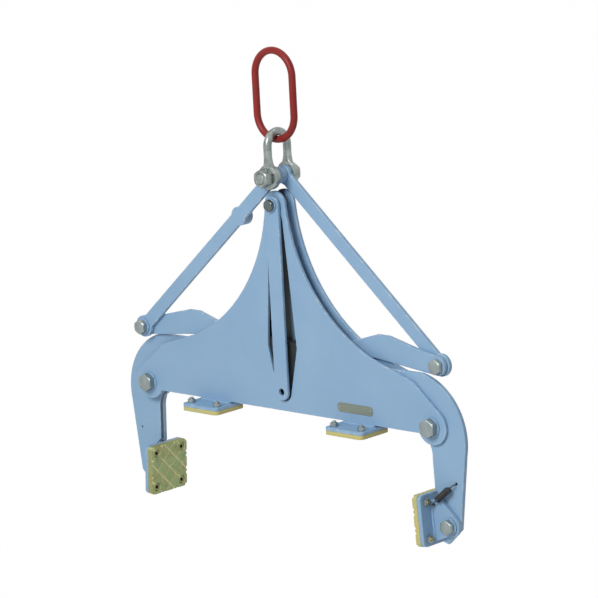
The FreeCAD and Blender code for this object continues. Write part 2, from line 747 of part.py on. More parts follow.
# grip pads, each on a lug that swivels on a bolt through the arm
lug_outline = [
    ("-pad_setback", "lug_top"),
    ("-pad_setback", "-lug_foot"),
    ("-lug_radius * cos(70 deg)", "-lug_radius * sin(70 deg)", "lug_radius", 1),
    ("lug_radius * cos(40 deg)", "lug_radius * sin(40 deg)"),
    ("-lug_shoulder", "lug_top"),
]
pad_spots = [(a + "pad_bolt_pitch / 2", "pad_rise " + b + " pad_bolt_pitch / 2")
             for a in ("", "-") for b in ("+", "-")]
pad_face = "-pad_setback - pad_steel - pad_rubber"
for tag, side in (("right", 1), ("left", -1)):
    sign = "" if side > 0 else "-"
    at = (side, sign + "pad_pivot_x", "0", "-pad_pivot_drop")
    steel = plate(tag + "_pad_plate", SIDEWAYS, [rounded("pad_size", "pad_size", "pad_corner", "pad_rise")],
                  [spot + ("small_bolt_radius + bolt_gap",) for spot in pad_spots],
                  "pad_steel", "-pad_setback - pad_steel")
    add_pad(steel, tag + "_pad_lug", FACING, [lug_outline], [
        ("0", "0", "joint_bolt_radius + run_gap"),
        ("-spring_lug_in", "spring_lug_up", "spring_hole_radius"),
    ], "lug_thick", "plate_inner")
    tilted(keep(tag + "_pad_plate", steel), *at)
    rubber = plate(tag + "_pad", SIDEWAYS, [rounded("pad_size", "pad_size", "pad_corner", "pad_rise")],
                   [spot + ("small_bolt_radius + bolt_gap",) for spot in pad_spots], "pad_rubber", pad_face)
    sink(rubber, tag + "_pad_sinks", SIDEWAYS, [spot + ("sink_radius",) for spot in pad_spots],
         "sink_depth", pad_face, True)
    tilted(keep(tag + "_pad", rubber), *at)
    screws, caps = [], []
    for index, spot in enumerate(pad_spots):
        head = cylinder("%s_pad_head_%d" % (tag, index), "small_head_radius", "small_head_high")
        shank = lift(cylinder("%s_pad_shank_%d" % (tag, index), "small_bolt_radius",
                              "pad_rubber - sink_depth + pad_steel + small_nut_high + thread_end / 2"),
                     "small_head_high")
        screw = fuse("%s_pad_bolt_%d" % (tag, index), [head, shank])
        cap = hex_nut("%s_pad_nut_%d" % (tag, index), "small_bolt_radius + thread_gap", "small_flats",
                      "small_nut_high")
        for piece, x in ((screw, pad_face + " + sink_depth - small_head_high"), (cap, "-pad_setback")):
            turn(piece, (0, 1, 0), 90)
            bind(piece, "Placement.Base.x", x)
            bind(piece, "Placement.Base.y", spot[0])
            bind(piece, "Placement.Base.z", spot[1])
        screws.append(screw)
        caps.append(cap)
    tilted(keep(tag + "_pad_bolts", group(tag + "_pad_bolts", screws)), *at)
    tilted(keep(tag + "_pad_nuts", group(tag + "_pad_nuts", caps)), *at)
    pivot = hex_bolt(tag + "_pad_pivot", "joint_bolt_radius", "joint_flats", "joint_head_high",
                     "washer_thick + lug_outer")
    head_y = "(lug_outer + layer_gap / 2 + washer_thick + joint_head_high)"
    keep(tag + "_pad_pivot", along_y(pivot, at[1], ("-" if side > 0 else "") + head_y, at[3], side > 0))
    disc = ring(tag + "_pad_washer", "joint_washer_radius", "joint_bolt_radius + bolt_gap", "washer_thick")
    disc_y = "(lug_outer + layer_gap / 2 + washer_thick)"
    keep(tag + "_pad_washer", along_y(disc, at[1], ("-" if side > 0 else "") + disc_y, at[3], side > 0))

# rest pads under the body, standing out in front, bolted from below with the nuts on top of the plates
rest_spots = [(a + "rest_pitch_long / 2", "-rest_bolt_out") for a in ("", "-")]
rest_bolts, rest_nuts = [], []
for tag, sign in (("left", "-"), ("right", "")):
    steel = plate(tag + "_rest_plate", LEVEL, [rounded("rest_long", "rest_wide", "rest_corner")],
                  [spot + ("small_bolt_radius + bolt_gap",) for spot in rest_spots],
                  "rest_steel", "-rest_top - rest_steel")
    put(keep(tag + "_rest_plate", steel), sign + "rest_offset", "-rest_forward")
    rubber = plate(tag + "_rest_pad", LEVEL, [rounded("rest_long", "rest_wide", "rest_corner")],
                   [spot + ("small_bolt_radius + bolt_gap",) for spot in rest_spots],
                   "rest_rubber", "-rest_top - rest_steel - rest_rubber")
    sink(rubber, tag + "_rest_sinks", LEVEL, [spot + ("rest_sink_radius",) for spot in rest_spots],
         "rest_sink", "-rest_top - rest_steel - rest_rubber", True)
    put(keep(tag + "_rest_pad", rubber), sign + "rest_offset", "-rest_forward")
    for index, spot in enumerate(rest_spots):
        bolt = hex_bolt("%s_rest_bolt_%d" % (tag, index), "small_bolt_radius", "small_flats", "rest_head_high",
                        "rest_rubber - rest_sink + rest_steel + small_nut_high + thread_end")
        nut = hex_nut("%s_rest_nut_%d" % (tag, index), "small_bolt_radius + thread_gap", "small_flats",
                      "small_nut_high")
        for piece, z in ((bolt, "-rest_top - rest_steel - rest_rubber + rest_sink - rest_head_high"),
                         (nut, "-rest_top")):
            put(piece, sign + "rest_offset + " + spot[0], "-rest_forward " + spot[1], z)
        rest_bolts.append(bolt)
        rest_nuts.append(nut)
keep("rest_bolts", group("rest_bolts", rest_bolts))
keep("rest_nuts", group("rest_nuts", rest_nuts))

# bare plate on the front
badge = plate("name_plate", FACING, [rounded("badge_long", "badge_high", "badge_corner")], [], "badge_thick")
put(keep("name_plate", badge), "badge_from + badge_long / 2", "-plate_outer", "badge_low + badge_high / 2")
rivets = []
for tag, x in (("left", "badge_from + rivet_inset"), ("right", "badge_from + badge_long - rivet_inset")):
    rivet = cylinder(tag + "_rivet", "rivet_radius", "rivet_high")
    rivets.append(along_y(rivet, x, "-plate_outer - badge_thick - rivet_high", "badge_low + badge_high / 2"))
keep("name_plate_rivets", group("name_plate_rivets", rivets))
doc.recompute()


# pad springs: one wire each, hooked through a hole in the arm and a hole in the lug
def arc_from(start, heading, end):
    chord = end - start
    side = heading - chord * (heading.dot(chord) / chord.dot(chord))
    if side.Length < 1e-9:
        return Part.LineSegment(start, end).toShape()
    angle = heading.getAngle(chord)
    middle = start + chord * 0.5 + side.normalize() * (chord.Length / 2 * math.tan(angle / 2))
    return Part.Arc(start, middle, end).toShape()


def biarc(start, heading, end, leaving):
    span = end - start
    both = heading + leaving
    a = both.dot(both) - 4
    b = -2 * span.dot(both)
    c = span.dot(span)
    reach = (-b - math.sqrt(b * b - 4 * a * c)) / (2 * a)
    joint = (start + heading * reach + end - leaving * reach) * 0.5
    first = arc_from(start, heading, joint)
    second = arc_from(end, leaving * -1, joint)
    return [first, Part.Arc(joint, second.valueAt(sum(second.ParameterRange) / 2), end).toShape()]


def rounded_path(points, bend):
    edges = []
    here = points[0]
    for before, corner, after in zip(points, points[1:], points[2:]):
        inward = (corner - before).normalize()
        onward = (after - corner).normalize()
        setback = bend * math.tan(inward.getAngle(onward) / 2)
        start = corner - inward * setback
        end = corner + onward * setback
        edges.append(Part.LineSegment(here, start).toShape())
        edges.append(arc_from(start, inward, end))
        here = end
    edges.append(Part.LineSegment(here, points[-1]).toShape())
    return edges


def pad_spring():
    size = {name: number(name) for name in NAMES}
    tilt = math.radians(size["pad_tilt"])
    lug_x = -size["spring_lug_in"] * math.cos(tilt) - size["spring_lug_up"] * math.sin(tilt)
    lug_z = -size["spring_lug_in"] * math.sin(tilt) + size["spring_lug_up"] * math.cos(tilt)
    coil = size["spring_coil_radius"]
    wire = size["spring_wire"]
    clear = coil + 1.7 * wire
    pad_pivot = FreeCAD.Vector(size["pad_pivot_x"], 0, size["pivot_z"] - size["pad_pivot_drop"])
    arm_hole = pad_pivot + FreeCAD.Vector(size["spring_arm_past"], 0, size["spring_arm_above"])
    lug_hole = pad_pivot + FreeCAD.Vector(lug_x, 0, lug_z)
    pull = (lug_hole - arm_hole).normalize() * (size["spring_hole_radius"] - wire / 2 - size["run_gap"])
    arm_hole += pull
    lug_hole -= pull
    upper = arm_hole - FreeCAD.Vector(0, size["arm_face"] + clear, 0)
    lower = lug_hole - FreeCAD.Vector(0, size["lug_outer"] + clear, 0)
    along = (lower - upper).normalize()
    out = FreeCAD.Vector(0, -1, 0)
    out = (out - along * out.dot(along)).normalize()
    across = along.cross(out)
    centre = upper + along * size["spring_lead"]
    slope = size["spring_pitch"] / (2 * math.pi)

    def spot(turns):
        angle = 2 * math.pi * turns
        return centre + along * (size["spring_pitch"] * turns) + (
            out * math.cos(angle) + across * math.sin(angle)) * coil

    def heading(turns):
        angle = 2 * math.pi * turns
        return (along * slope + (across * math.cos(angle) - out * math.sin(angle)) * coil).normalize()

    bend = 1.05 * wire
    tail = 1.6 * wire
    turns = size["spring_turns"]
    far = centre + along * (size["spring_pitch"] * turns)
    upper_end = arm_hole - FreeCAD.Vector(0, size["arm_face"] - size["arm_thick"] * 0.8, 0)
    lower_end = lug_hole - FreeCAD.Vector(0, size["lug_outer"] - size["lug_thick"] * 0.8, 0)
    edges = rounded_path([upper_end, upper, centre - along * (2.4 * wire),
                          spot(0) - heading(0) * tail, spot(0)], bend)
    for step in range(int(turns * 4)):
        edges += biarc(spot(step / 4), heading(step / 4), spot((step + 1) / 4), heading((step + 1) / 4))
    edges += rounded_path([spot(turns), spot(turns) + heading(turns) * tail, far + along * (2.4 * wire),
                           lower, lower_end], bend)
    path = Part.Wire(edges)
    first = edges[0]
    disc = Part.Wire(Part.Circle(first.valueAt(first.FirstParameter), first.tangentAt(first.FirstParameter),
                                 wire / 2).toShape())
    solid = path.makePipeShell([disc], True, False)
    points = path.discretize(Distance=0.3)
    least = min(points[i].distanceToPoint(points[j]) for i in range(0, len(points), 2)
                for j in range(i + 18, len(points), 2))
    print("spring self gap", round(least - wire, 3), "length", round(path.Length, 1),
          "volume ratio", round(solid.Volume / (path.Length * math.pi * wire ** 2 / 4), 4))
    return solid


right_spring = doc.addObject("Part::Feature", "right_pad_spring")
right_spring.Shape = pad_spring()
left_spring = doc.addObject("Part::Feature", "left_pad_spring")
left_spring.Shape = right_spring.Shape.copy()
turn(left_spring, (0, 0, 1), 180)
keep("right_pad_spring", right_spring)
keep("left_pad_spring", left_spring)
doc.recompute()

failed = []
for name, obj in NODES.items():
    shape = obj.Shape
    sound = "Invalid" not in obj.State and not shape.isNull() and shape.isValid() and len(shape.Solids) > 0
    if not sound or any(solid.Volume <= 0 for solid in shape.Solids):
        failed.append(name)
for obj in doc.Objects:
    if "Invalid" in obj.State or "Error" in obj.State:
        failed.append(obj.Name)
if failed:
    raise RuntimeError("failed: " + ", ".join(failed))
for name, obj in NODES.items():
    shape = obj.Shape
    Part.Shape(shape).exportStep("parts/%s.step" % name)
box = Part.makeCompound([obj.Shape for obj in NODES.values()]).BoundBox
print(len(NODES), "nodes", [round(v, 2) for v in (box.XMin, box.XMax, box.YMin, box.YMax, box.ZMin, box.ZMax)])
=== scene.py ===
import math

import bmesh
import bpy
import numpy as np
from mathutils import Matrix, Vector
from mathutils.geometry import tessellate_polygon


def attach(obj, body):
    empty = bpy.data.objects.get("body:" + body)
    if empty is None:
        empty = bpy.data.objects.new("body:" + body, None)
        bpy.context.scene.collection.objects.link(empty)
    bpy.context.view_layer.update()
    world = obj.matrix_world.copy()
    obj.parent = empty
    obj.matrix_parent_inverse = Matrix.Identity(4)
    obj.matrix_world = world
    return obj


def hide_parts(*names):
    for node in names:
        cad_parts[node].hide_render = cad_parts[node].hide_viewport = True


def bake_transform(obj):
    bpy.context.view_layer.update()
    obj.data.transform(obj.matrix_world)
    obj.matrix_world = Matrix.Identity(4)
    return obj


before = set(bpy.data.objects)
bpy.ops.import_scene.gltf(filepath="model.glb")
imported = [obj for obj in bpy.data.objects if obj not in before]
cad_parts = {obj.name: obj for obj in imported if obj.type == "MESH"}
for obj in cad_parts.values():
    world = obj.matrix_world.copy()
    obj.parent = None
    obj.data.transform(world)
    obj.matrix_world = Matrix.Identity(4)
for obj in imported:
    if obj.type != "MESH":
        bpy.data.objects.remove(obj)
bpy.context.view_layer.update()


# Body plates: two fins cut from 6 mm steel sheet, edges eased and powder coated light blue.
# They stand about 18 mm apart on the pivot sleeves; the front one has a long kite-shaped slot.
PIVOT_LINE = -627.6
PIVOT_X = 345
APEX = 362
APEX_ROUND = 24
FLANK_ROUND = 311
END_ROUND = 32
PLATE_THICK = 6.0
PLATE_INNER = 9.2
PLATE_OUTER = 15.2


def trace(corners):
    """Closed outline of a plate: each corner (x, z) runs straight to the next one, or, where a radius and
    a side follow it (+1 bends left, -1 right), along the arc of that radius, cut every 4 degrees."""
    runs = []
    for here, after in zip(corners, corners[1:] + corners[:1]):
        start = np.array(here[:2], float)
        end = np.array(after[:2], float)
        if len(here) == 2:
            runs.append(start[None])
            continue
        radius, side = here[2:]
        chord = end - start
        half = np.hypot(*chord) / 2
        left = np.array([-chord[1], chord[0]]) / (2 * half)
        centre = (start + end) / 2 + left * side * math.sqrt(max(radius ** 2 - half ** 2, 0.0))
        sweep = 2 * math.asin(min(half / radius, 1.0)) * side
        steps = max(3, round(abs(sweep) / math.radians(4)))
        angle = math.atan2(start[1] - centre[1], start[0] - centre[0]) + sweep * np.arange(steps) / steps
        runs.append(centre + radius * np.stack([np.cos(angle), np.sin(angle)], axis=1))
    return np.concatenate(runs)


def hole(x, z, radius, steps=40):
    """Outline of a round hole: the circle of its radius about (x, z)."""
    angle = 2 * np.pi * np.arange(steps) / steps
    return np.stack([x + radius * np.cos(angle), z + radius * np.sin(angle)], axis=1)


def strip_faces(rows, columns, close_rows, close_columns=True):
    """Quads between neighbouring points of a grid numbered row by row, joined round where it closes."""
    r = np.arange(rows if close_rows else rows - 1)[:, None]
    c = np.arange(columns if close_columns else columns - 1)[None, :]
    below = (r + 1) % rows * columns
    beside = (c + 1) % columns
    here = r * columns
    return np.stack([here + c, here + beside, below + beside, below + c], axis=-1).reshape(-1, 4)


def cut_plate(outer, holes, thick, ease=0.9, rim=3.0):
    """Plate with eased edges: a quarter-round edge profile (inset, depth) is carried round every outline,
    each point shifted inwards along the mitre of its two sides, and both faces are filled in.
    Returns points (x, z, depth), faces, and how near each point is to an edge."""
    turn = np.linspace(0, np.pi / 2, 4)
    inset = np.concatenate([[rim], ease * (1 - np.sin(turn)), ease * (1 - np.sin(turn[::-1])), [rim]])
    depth = np.concatenate([[0], ease * (1 - np.cos(turn)), thick - ease * (1 - np.cos(turn[::-1])), [thick]])
    nearness = np.array([0, 0.55, 1, 1, 0.5, 0.5, 1, 1, 0.55, 0])
    levels = len(inset)
    points, faces, edge, front, back = [], [], [], [], []
    count = 0
    for number, loop in enumerate([outer] + holes):
        ahead = np.roll(loop, -1, axis=0)
        area = np.sum(loop[:, 0] * ahead[:, 1] - ahead[:, 0] * loop[:, 1])
        if (area > 0) != (number == 0):
            loop = loop[::-1]
        run = np.roll(loop, -1, axis=0) - loop
        run = run / np.linalg.norm(run, axis=1, keepdims=True)
        inward = np.stack([-run[:, 1], run[:, 0]], axis=1)
        before = np.roll(inward, 1, axis=0)
        mitre = (inward + before) / (1 + np.sum(inward * before, axis=1, keepdims=True))
        flat = loop[None] + inset[:, None, None] * mitre[None]
        deep = np.broadcast_to(depth[:, None, None], (levels, len(loop), 1))
        points.append(np.concatenate([flat, deep], axis=2).reshape(-1, 3))
        edge.append(np.repeat(nearness, len(loop)))
        faces.append(strip_faces(levels, len(loop), False) + count)
        front.append(count + np.arange(len(loop)))
        back.append(count + (levels - 1) * len(loop) + np.arange(len(loop)))
        count += levels * len(loop)
    points = np.concatenate(points)
    rings = [[Vector((x, z, 0)) for x, z, d in points[ring]] for ring in front]
    fill = np.array(tessellate_polygon(rings))
    front = np.concatenate(front)
    back = np.concatenate(back)
    faces = np.concatenate(faces).tolist() + front[fill].tolist() + back[fill[:, ::-1]].tolist()
    return points, faces, np.concatenate(edge)


def facing(points, front):
    """Plate points (x, z, depth), heights from the pivot line, set with the front face at Y = front."""
    return np.stack([points[:, 0], front + points[:, 2], points[:, 1] + PIVOT_LINE], axis=1)


def half_turned(points):
    """The same points turned half round about the upright axis."""
    return points * (-1, -1, 1)


def joined(pieces):
    """Several (points, faces) as one, with the faces of each renumbered after the points before it."""
    points, faces, count = [], [], 0
    for some, sides in pieces:
        points.append(some)
        faces += [[count + index for index in face] for face in sides]
        count += len(some)
    return np.concatenate(points), faces


def in_scene(name, data):
    """A new object that holds the data, linked into the scene."""
    thing = bpy.data.objects.new(name, data)
    bpy.context.scene.collection.objects.link(thing)
    return thing


def settle(name, points, faces, body, finish, nodes, mark=None, crease=38):
    """Makes the mesh object from points in millimetres, closes its seams, turns its faces outwards, smooths
    it up to the crease angle, ties it to its body, gives it the material of its finish (slot, material; the
    slot is not used) and hides the solids that it stands for."""
    slot, material = finish
    mesh = bpy.data.meshes.new(name)
    mesh.from_pydata((np.asarray(points) * 0.001).tolist(), [], [list(face) for face in faces])
    if mark is not None:
        values = mesh.attributes.new("edge", "FLOAT", "POINT")
        values.data.foreach_set("value", np.asarray(mark, dtype=np.float32))
    shell = bmesh.new()
    shell.from_mesh(mesh)
    bmesh.ops.remove_doubles(shell, verts=shell.verts, dist=1e-7)
    bmesh.ops.recalc_face_normals(shell, faces=shell.faces)
    shell.to_mesh(mesh)
    shell.free()
    mesh.shade_smooth()
    mesh.set_sharp_from_angle(angle=math.radians(crease))
    mesh.materials.append(material)
    piece = in_scene(name, mesh)
    if body:
        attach(piece, body)
    if nodes:
        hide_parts(*nodes)
    return piece


def new_finish(name):
    """A material with its node tree, its shader and the object coordinates."""
    material = bpy.data.materials.new(name)
    material.use_nodes = True
    tree = material.node_tree
    where = tree.nodes.new("ShaderNodeTexCoord").outputs["Object"]
    return material, tree, tree.nodes["Principled BSDF"], where


def cloud(tree, where, scale, detail=3.0, stretch=None):
    """Noise of so many blotches to the metre, drawn out where a stretch is given."""
    if stretch:
        mapping = tree.nodes.new("ShaderNodeMapping")
        mapping.inputs["Scale"].default_value = stretch
        tree.links.new(where, mapping.inputs["Vector"])
        where = mapping.outputs["Vector"]
    node = tree.nodes.new("ShaderNodeTexNoise")
    node.inputs["Scale"].default_value = scale
    node.inputs["Detail"].default_value = detail
    node.inputs["Roughness"].default_value = 0.6
    tree.links.new(where, node.inputs["Vector"])
    return node.outputs["Fac"]


def ramped(tree, value, low, high, first=0.0, last=1.0):
    """The value stretched from low..high to first..last and held there beyond."""
    node = tree.nodes.new("ShaderNodeMapRange")
    for socket, number in zip(("From Min", "From Max", "To Min", "To Max"), (low, high, first, last)):
        node.inputs[socket].default_value = number
    tree.links.new(value, node.inputs["Value"])
    return node.outputs["Result"]


def reckoned(tree, operation, first, second):
    """Two values put together by a maths operation."""
    node = tree.nodes.new("ShaderNodeMath")
    node.operation = operation
    tree.links.new(first, node.inputs[0])
    tree.links.new(second, node.inputs[1])
    return node.outputs["Value"]


def tinted(tree, share, base, over):
    """Colour base going over to colour over by the share; either may be a colour or an earlier result."""
    node = tree.nodes.new("ShaderNodeMix")
    node.data_type = "RGBA"
    tree.links.new(share, node.inputs[0])
    for index, colour in ((6, base), (7, over)):
        if isinstance(colour, tuple):
            node.inputs[index].default_value = colour + (1.0,)
        else:
            tree.links.new(colour, node.inputs[index])
    return node.outputs[2]


def surfaced(tree, shader, shade, gloss, height, deep, strength):
    """The shader's colour and roughness, and bump of so many metres at full height on its normal."""
    node = tree.nodes.new("ShaderNodeBump")
    node.inputs["Distance"].default_value = deep
    node.inputs["Strength"].default_value = strength
    tree.links.new(height, node.inputs["Height"])
    for socket, value in (("Base Color", shade), ("Roughness", gloss), ("Normal", node.outputs["Normal"])):
        tree.links.new(value, shader.inputs[socket])


def edge_share(tree):
    """The mark stored on the piece's own mesh: nearness to an edge, wear, dust or painted shade."""
    node = tree.nodes.new("ShaderNodeAttribute")
    node.attribute_name = "edge"
    return node.outputs["Fac"]


def below_zero(tree):
    """1 where the piece's mark is -1, falling to 0 where it is 0 or more."""
    return ramped(tree, edge_share(tree), -1.0, 0.0, 1.0, 0.0)


def inside_shade(tree, where, shade, low, high, deepest):
    """The shade darkened to near black as painted shade between the plates: where X is between low and high,
    and in front of Y = deepest.
    """
    parts = tree.nodes.new("ShaderNodeSeparateXYZ")
    tree.links.new(where, parts.inputs["Vector"])
    fade, step = 0.006, 0.0004
    from_left = ramped(tree, parts.outputs["X"], low - fade, low)
    to_right = ramped(tree, parts.outputs["X"], high, high + fade, 1.0, 0.0)
    before = ramped(tree, parts.outputs["Y"], deepest, deepest + step, 1.0, 0.0)
    share = reckoned(tree, "MULTIPLY", reckoned(tree, "MULTIPLY", from_left, to_right), before)
    # Near-black painted shade between the plates.
    return tinted(tree, share, shade, (0.030, 0.036, 0.037))


def painted(name, colour, dusty, rubbed, rough, shade_limits=None):
    """Powder coat: a soft drift of colour, rubbed paler in patches along the edges, orange-peel bump, a dark
    blue painted shade where it is marked under 0, and a near-black painted shade between the plates where its
    limits are given."""
    material, tree, shader, where = new_finish(name)
    drift = ramped(tree, cloud(tree, where, 9.0), 0.35, 0.7)
    shade = tinted(tree, drift, colour, dusty)
    speck = ramped(tree, cloud(tree, where, 160.0, 6.0), 0.62, 0.74, 0.0, 0.5)
    shade = tinted(tree, speck, shade, dusty)
    patches = ramped(tree, cloud(tree, where, 70.0, 5.0), 0.5, 0.66)
    shade = tinted(tree, reckoned(tree, "MULTIPLY", edge_share(tree), patches), shade, rubbed)
    # Painted shade: dark blue where the mark is under 0, on the arms' throat walls.
    shade = tinted(tree, below_zero(tree), shade, (0.060, 0.105, 0.155))
    if shade_limits:
        shade = inside_shade(tree, where, shade, *shade_limits)
    gloss = ramped(tree, cloud(tree, where, 30.0, 4.0), 0.3, 0.7, rough - 0.06, rough + 0.09)
    surfaced(tree, shader, shade, gloss, cloud(tree, where, 420.0, 2.0), 0.00012, 0.35)
    return material


blue_coat = ((0.253, 0.418, 0.606), (0.283, 0.448, 0.632), (0.50, 0.60, 0.69), 0.42)
BLUE_PAINT = ("blue_paint", painted("light_blue_powder_coat", *blue_coat))
# The back plate's inner face is painted near black as shade behind the slot, the window set off to the left.
SHADED_BACK = ("blue_paint", painted("blue_coat_shaded_inside", *blue_coat, (-0.066, 0.0, 0.0094)))

plate_right = [
    (APEX_ROUND, APEX, FLANK_ROUND, 1), (212, 106), (306, 75), (365.69, 24.41, END_ROUND, -1),
    (365.57, -24.51, END_ROUND, -1), (316.22, -14), (213, -14), (213, -17), (139, -17), (139, -14),
]
plate_left = [
    (-139, -14), (-139, -17), (-213, -17), (-213, -14), (-316.22, -14, END_ROUND, -1),
    (-365.57, -24.51, END_ROUND, -1), (-365.69, 24.41), (-306, 75), (-212, 106, FLANK_ROUND, 1),
    (-APEX_ROUND, APEX, APEX_ROUND, -1),
]
plate_edge = trace([(0, APEX + APEX_ROUND, APEX_ROUND, -1)] + plate_right + plate_left)
slot_edge = trace([
    (16.5, 332), (35.5, 104), (17, 22, 17, -1), (0, 5, 17, -1), (-17, 22), (-35.5, 104),
    (-16.5, 332, 16.5, -1), (0, 348.5, 16.5, -1),
])
plate_holes = [hole(-PIVOT_X, 0, 10.3), hole(PIVOT_X, 0, 10.3), hole(0, APEX, 6.3)]
for place, front, openings, coat in (("front", -PLATE_OUTER, plate_holes + [slot_edge], BLUE_PAINT),
                                     ("back", PLATE_INNER, plate_holes, SHADED_BACK)):
    points, faces, edge = cut_plate(plate_edge, openings, PLATE_THICK)
    settle(place + "_body_plate", facing(points, front), faces, "frame", coat, [place + "_plate"], edge)


# Main pivots: an M20 hex bolt through both plates on a hardened sleeve that keeps them apart, with a washer
# under head and nut. Cold-formed steel, zinc plated; the washers and the ring beside the arm are painted.
def turned(rows, steps=72):
    """Turned piece: each row is (radius, height), or (radius, height, flats) where it is hexagonal: there the
    radius at angle a is at most half the flats over the cosine of a within its 60 degrees. Rows that start
    off the axis close into a ring."""
    radius, height, flats = np.array([(*row, np.inf)[:3] for row in rows], float).T[:, :, None]
    angle = 2 * np.pi * np.arange(steps) / steps
    within = (angle + np.pi / 6) % (np.pi / 3) - np.pi / 6
    reach = np.minimum(radius, flats / 2 / np.cos(within)[None])
    points = np.stack([reach * np.cos(angle), reach * np.sin(angle), height + 0 * reach], axis=-1)
    return points.reshape(-1, 3), strip_faces(len(rows), steps, rows[0][0] > 0)


def bolt_rows(flats, head, radius, length, thread=0.0):
    """Hex bolt from the face of its head inwards: corners chamfered, washer face under the head, plain shank,
    then thread ridges over the last stretch and a chamfered end."""
    apothem = flats / 2
    corner = apothem / math.cos(math.pi / 6)
    crown = np.linspace(0.94 * apothem, corner, 5)
    rows = [(0, 0), (0.8 * apothem, 0)]
    rows += [(size, (size - crown[0]) * 0.6, flats) for size in crown]
    rows += [(corner, head - 0.5, flats), (0.95 * apothem, head - 0.5), (0.95 * apothem, head)]
    rows += [(radius, head), (radius, head + length - thread)]
    pitch = radius * 0.25
    for ridge in range(int(thread / pitch) - 1):
        low = head + length - thread + ridge * pitch
        rows += [(radius * 0.9, low + 0.45 * pitch), (radius * 0.9, low + 0.55 * pitch),
                 (radius, low + 0.95 * pitch), (radius, low + pitch)]
    return rows + [(radius * 0.98, head + length - radius * 0.12), (radius * 0.86, head + length),
                   (0, head + length)]


def nut_rows(flats, high, bore):
    """Hex nut: corners chamfered at both ends, bore chamfered, the rows closed into a ring."""
    apothem = flats / 2
    corner = apothem / math.cos(math.pi / 6)
    crown = np.linspace(0.94 * apothem, corner, 4)
    start = [(size, (size - crown[0]) * 0.6, flats) for size in crown]
    end = [(size, high - (size - crown[0]) * 0.6, flats) for size in crown[::-1]]
    return [(bore, 0.8), (bore + 0.8, 0)] + start + end + [(bore + 0.8, high), (bore, high - 0.8)]


def washer_rows(outer, inner, high, ease=0.5):
    """Washer or ring: a rectangle with eased outer corners turned about the axis."""
    return [(inner, 0), (outer - ease, 0), (outer - 0.3 * ease, 0.3 * ease), (outer, ease),
            (outer, high - ease), (outer - 0.3 * ease, high - 0.3 * ease), (outer - ease, high),
            (inner, high)]


def across_plates(rows, x, z, start, way=1, steps=72):
    """Rows turned about an axis along Y at (x, z), from Y = start backwards (+1) or forwards (-1)."""
    points, faces = turned(rows, steps)
    placed = [x + points[:, 0], start + way * points[:, 2], PIVOT_LINE + z + points[:, 1]]
    return np.stack(placed, axis=1), faces


def turned_piece(name, rows, x, z, start, body, finish, node, way=1):
    """One turned piece that stands for a solid of its own, set by across_plates."""
    settle(name, *across_plates(rows, x, z, start, way), body, finish, [node])


def plated(name, colour, dull, rough, brushed=260.0):
    """Plated steel: metal with cloudy grey patches and fine scratches in its gloss, painted near black as
    shade where it is marked over 0, and dusty where it is marked under 0."""
    material, tree, shader, where = new_finish(name)
    shader.inputs["Metallic"].default_value = 0.75
    shade = tinted(tree, ramped(tree, cloud(tree, where, 55.0, 5.0), 0.35, 0.68), colour, dull)
    # Near-black painted shade where the mark is over 0, in the screw sockets.
    shade = tinted(tree, edge_share(tree), shade, (0.020, 0.020, 0.021))
    shade = tinted(tree, below_zero(tree), shade, (0.33, 0.29, 0.135))
    gloss = ramped(tree, cloud(tree, where, brushed, 4.0), 0.3, 0.7, rough - 0.08, rough + 0.14)
    surfaced(tree, shader, shade, gloss, cloud(tree, where, 700.0, 3.0), 0.00008, 0.3)
    return material


ZINC = ("zinc_steel", plated("zinc_plated_steel", (0.34, 0.39, 0.39), (0.24, 0.28, 0.28), 0.36))

WASHER = 3
BOLT_TAIL = 3
M20_FLATS = 30
M20_HEAD = 12.5
M20_NUT = 16
ARM_THICK = 8.0
FRONT_ARM = -8.4
BACK_ARM = 0.4
bolts, washers, nuts, sleeves, spacers = [], [], [], [], []
for x in (-PIVOT_X, PIVOT_X):
    rows = bolt_rows(M20_FLATS, M20_HEAD, 10, 2 * PLATE_OUTER + 2 * WASHER + M20_NUT + BOLT_TAIL, 20)
    bolts.append(across_plates(rows, x, 0, -PLATE_OUTER - WASHER - M20_HEAD))
    for start in (-PLATE_OUTER - WASHER, PLATE_OUTER):
        washers.append(across_plates(washer_rows(18.5, 10.3, WASHER), x, 0, start))
    nuts.append(across_plates(nut_rows(M20_FLATS, M20_NUT, 10.1), x, 0, PLATE_OUTER + WASHER))
    sleeves.append(across_plates(washer_rows(14, 10.3, 2 * PLATE_INNER), x, 0, -PLATE_INNER))
    spacers.append(across_plates(washer_rows(26, 14.3, ARM_THICK), x, 0, FRONT_ARM if x < 0 else BACK_ARM))
settle("pivot_hex_bolts", *joined(bolts), "frame", ZINC, ["pivot_bolts"])
settle("pivot_flat_washers", *joined(washers), "frame", BLUE_PAINT, ["pivot_washers"])
settle("pivot_hex_nuts", *joined(nuts), "frame", ZINC, ["pivot_nuts"])
settle("pivot_sleeve_tubes", *joined(sleeves), "frame", ZINC, ["pivot_sleeves"])
settle("pivot_spacer_rings", *joined(spacers), "frame", BLUE_PAINT, ["pivot_spacers"])


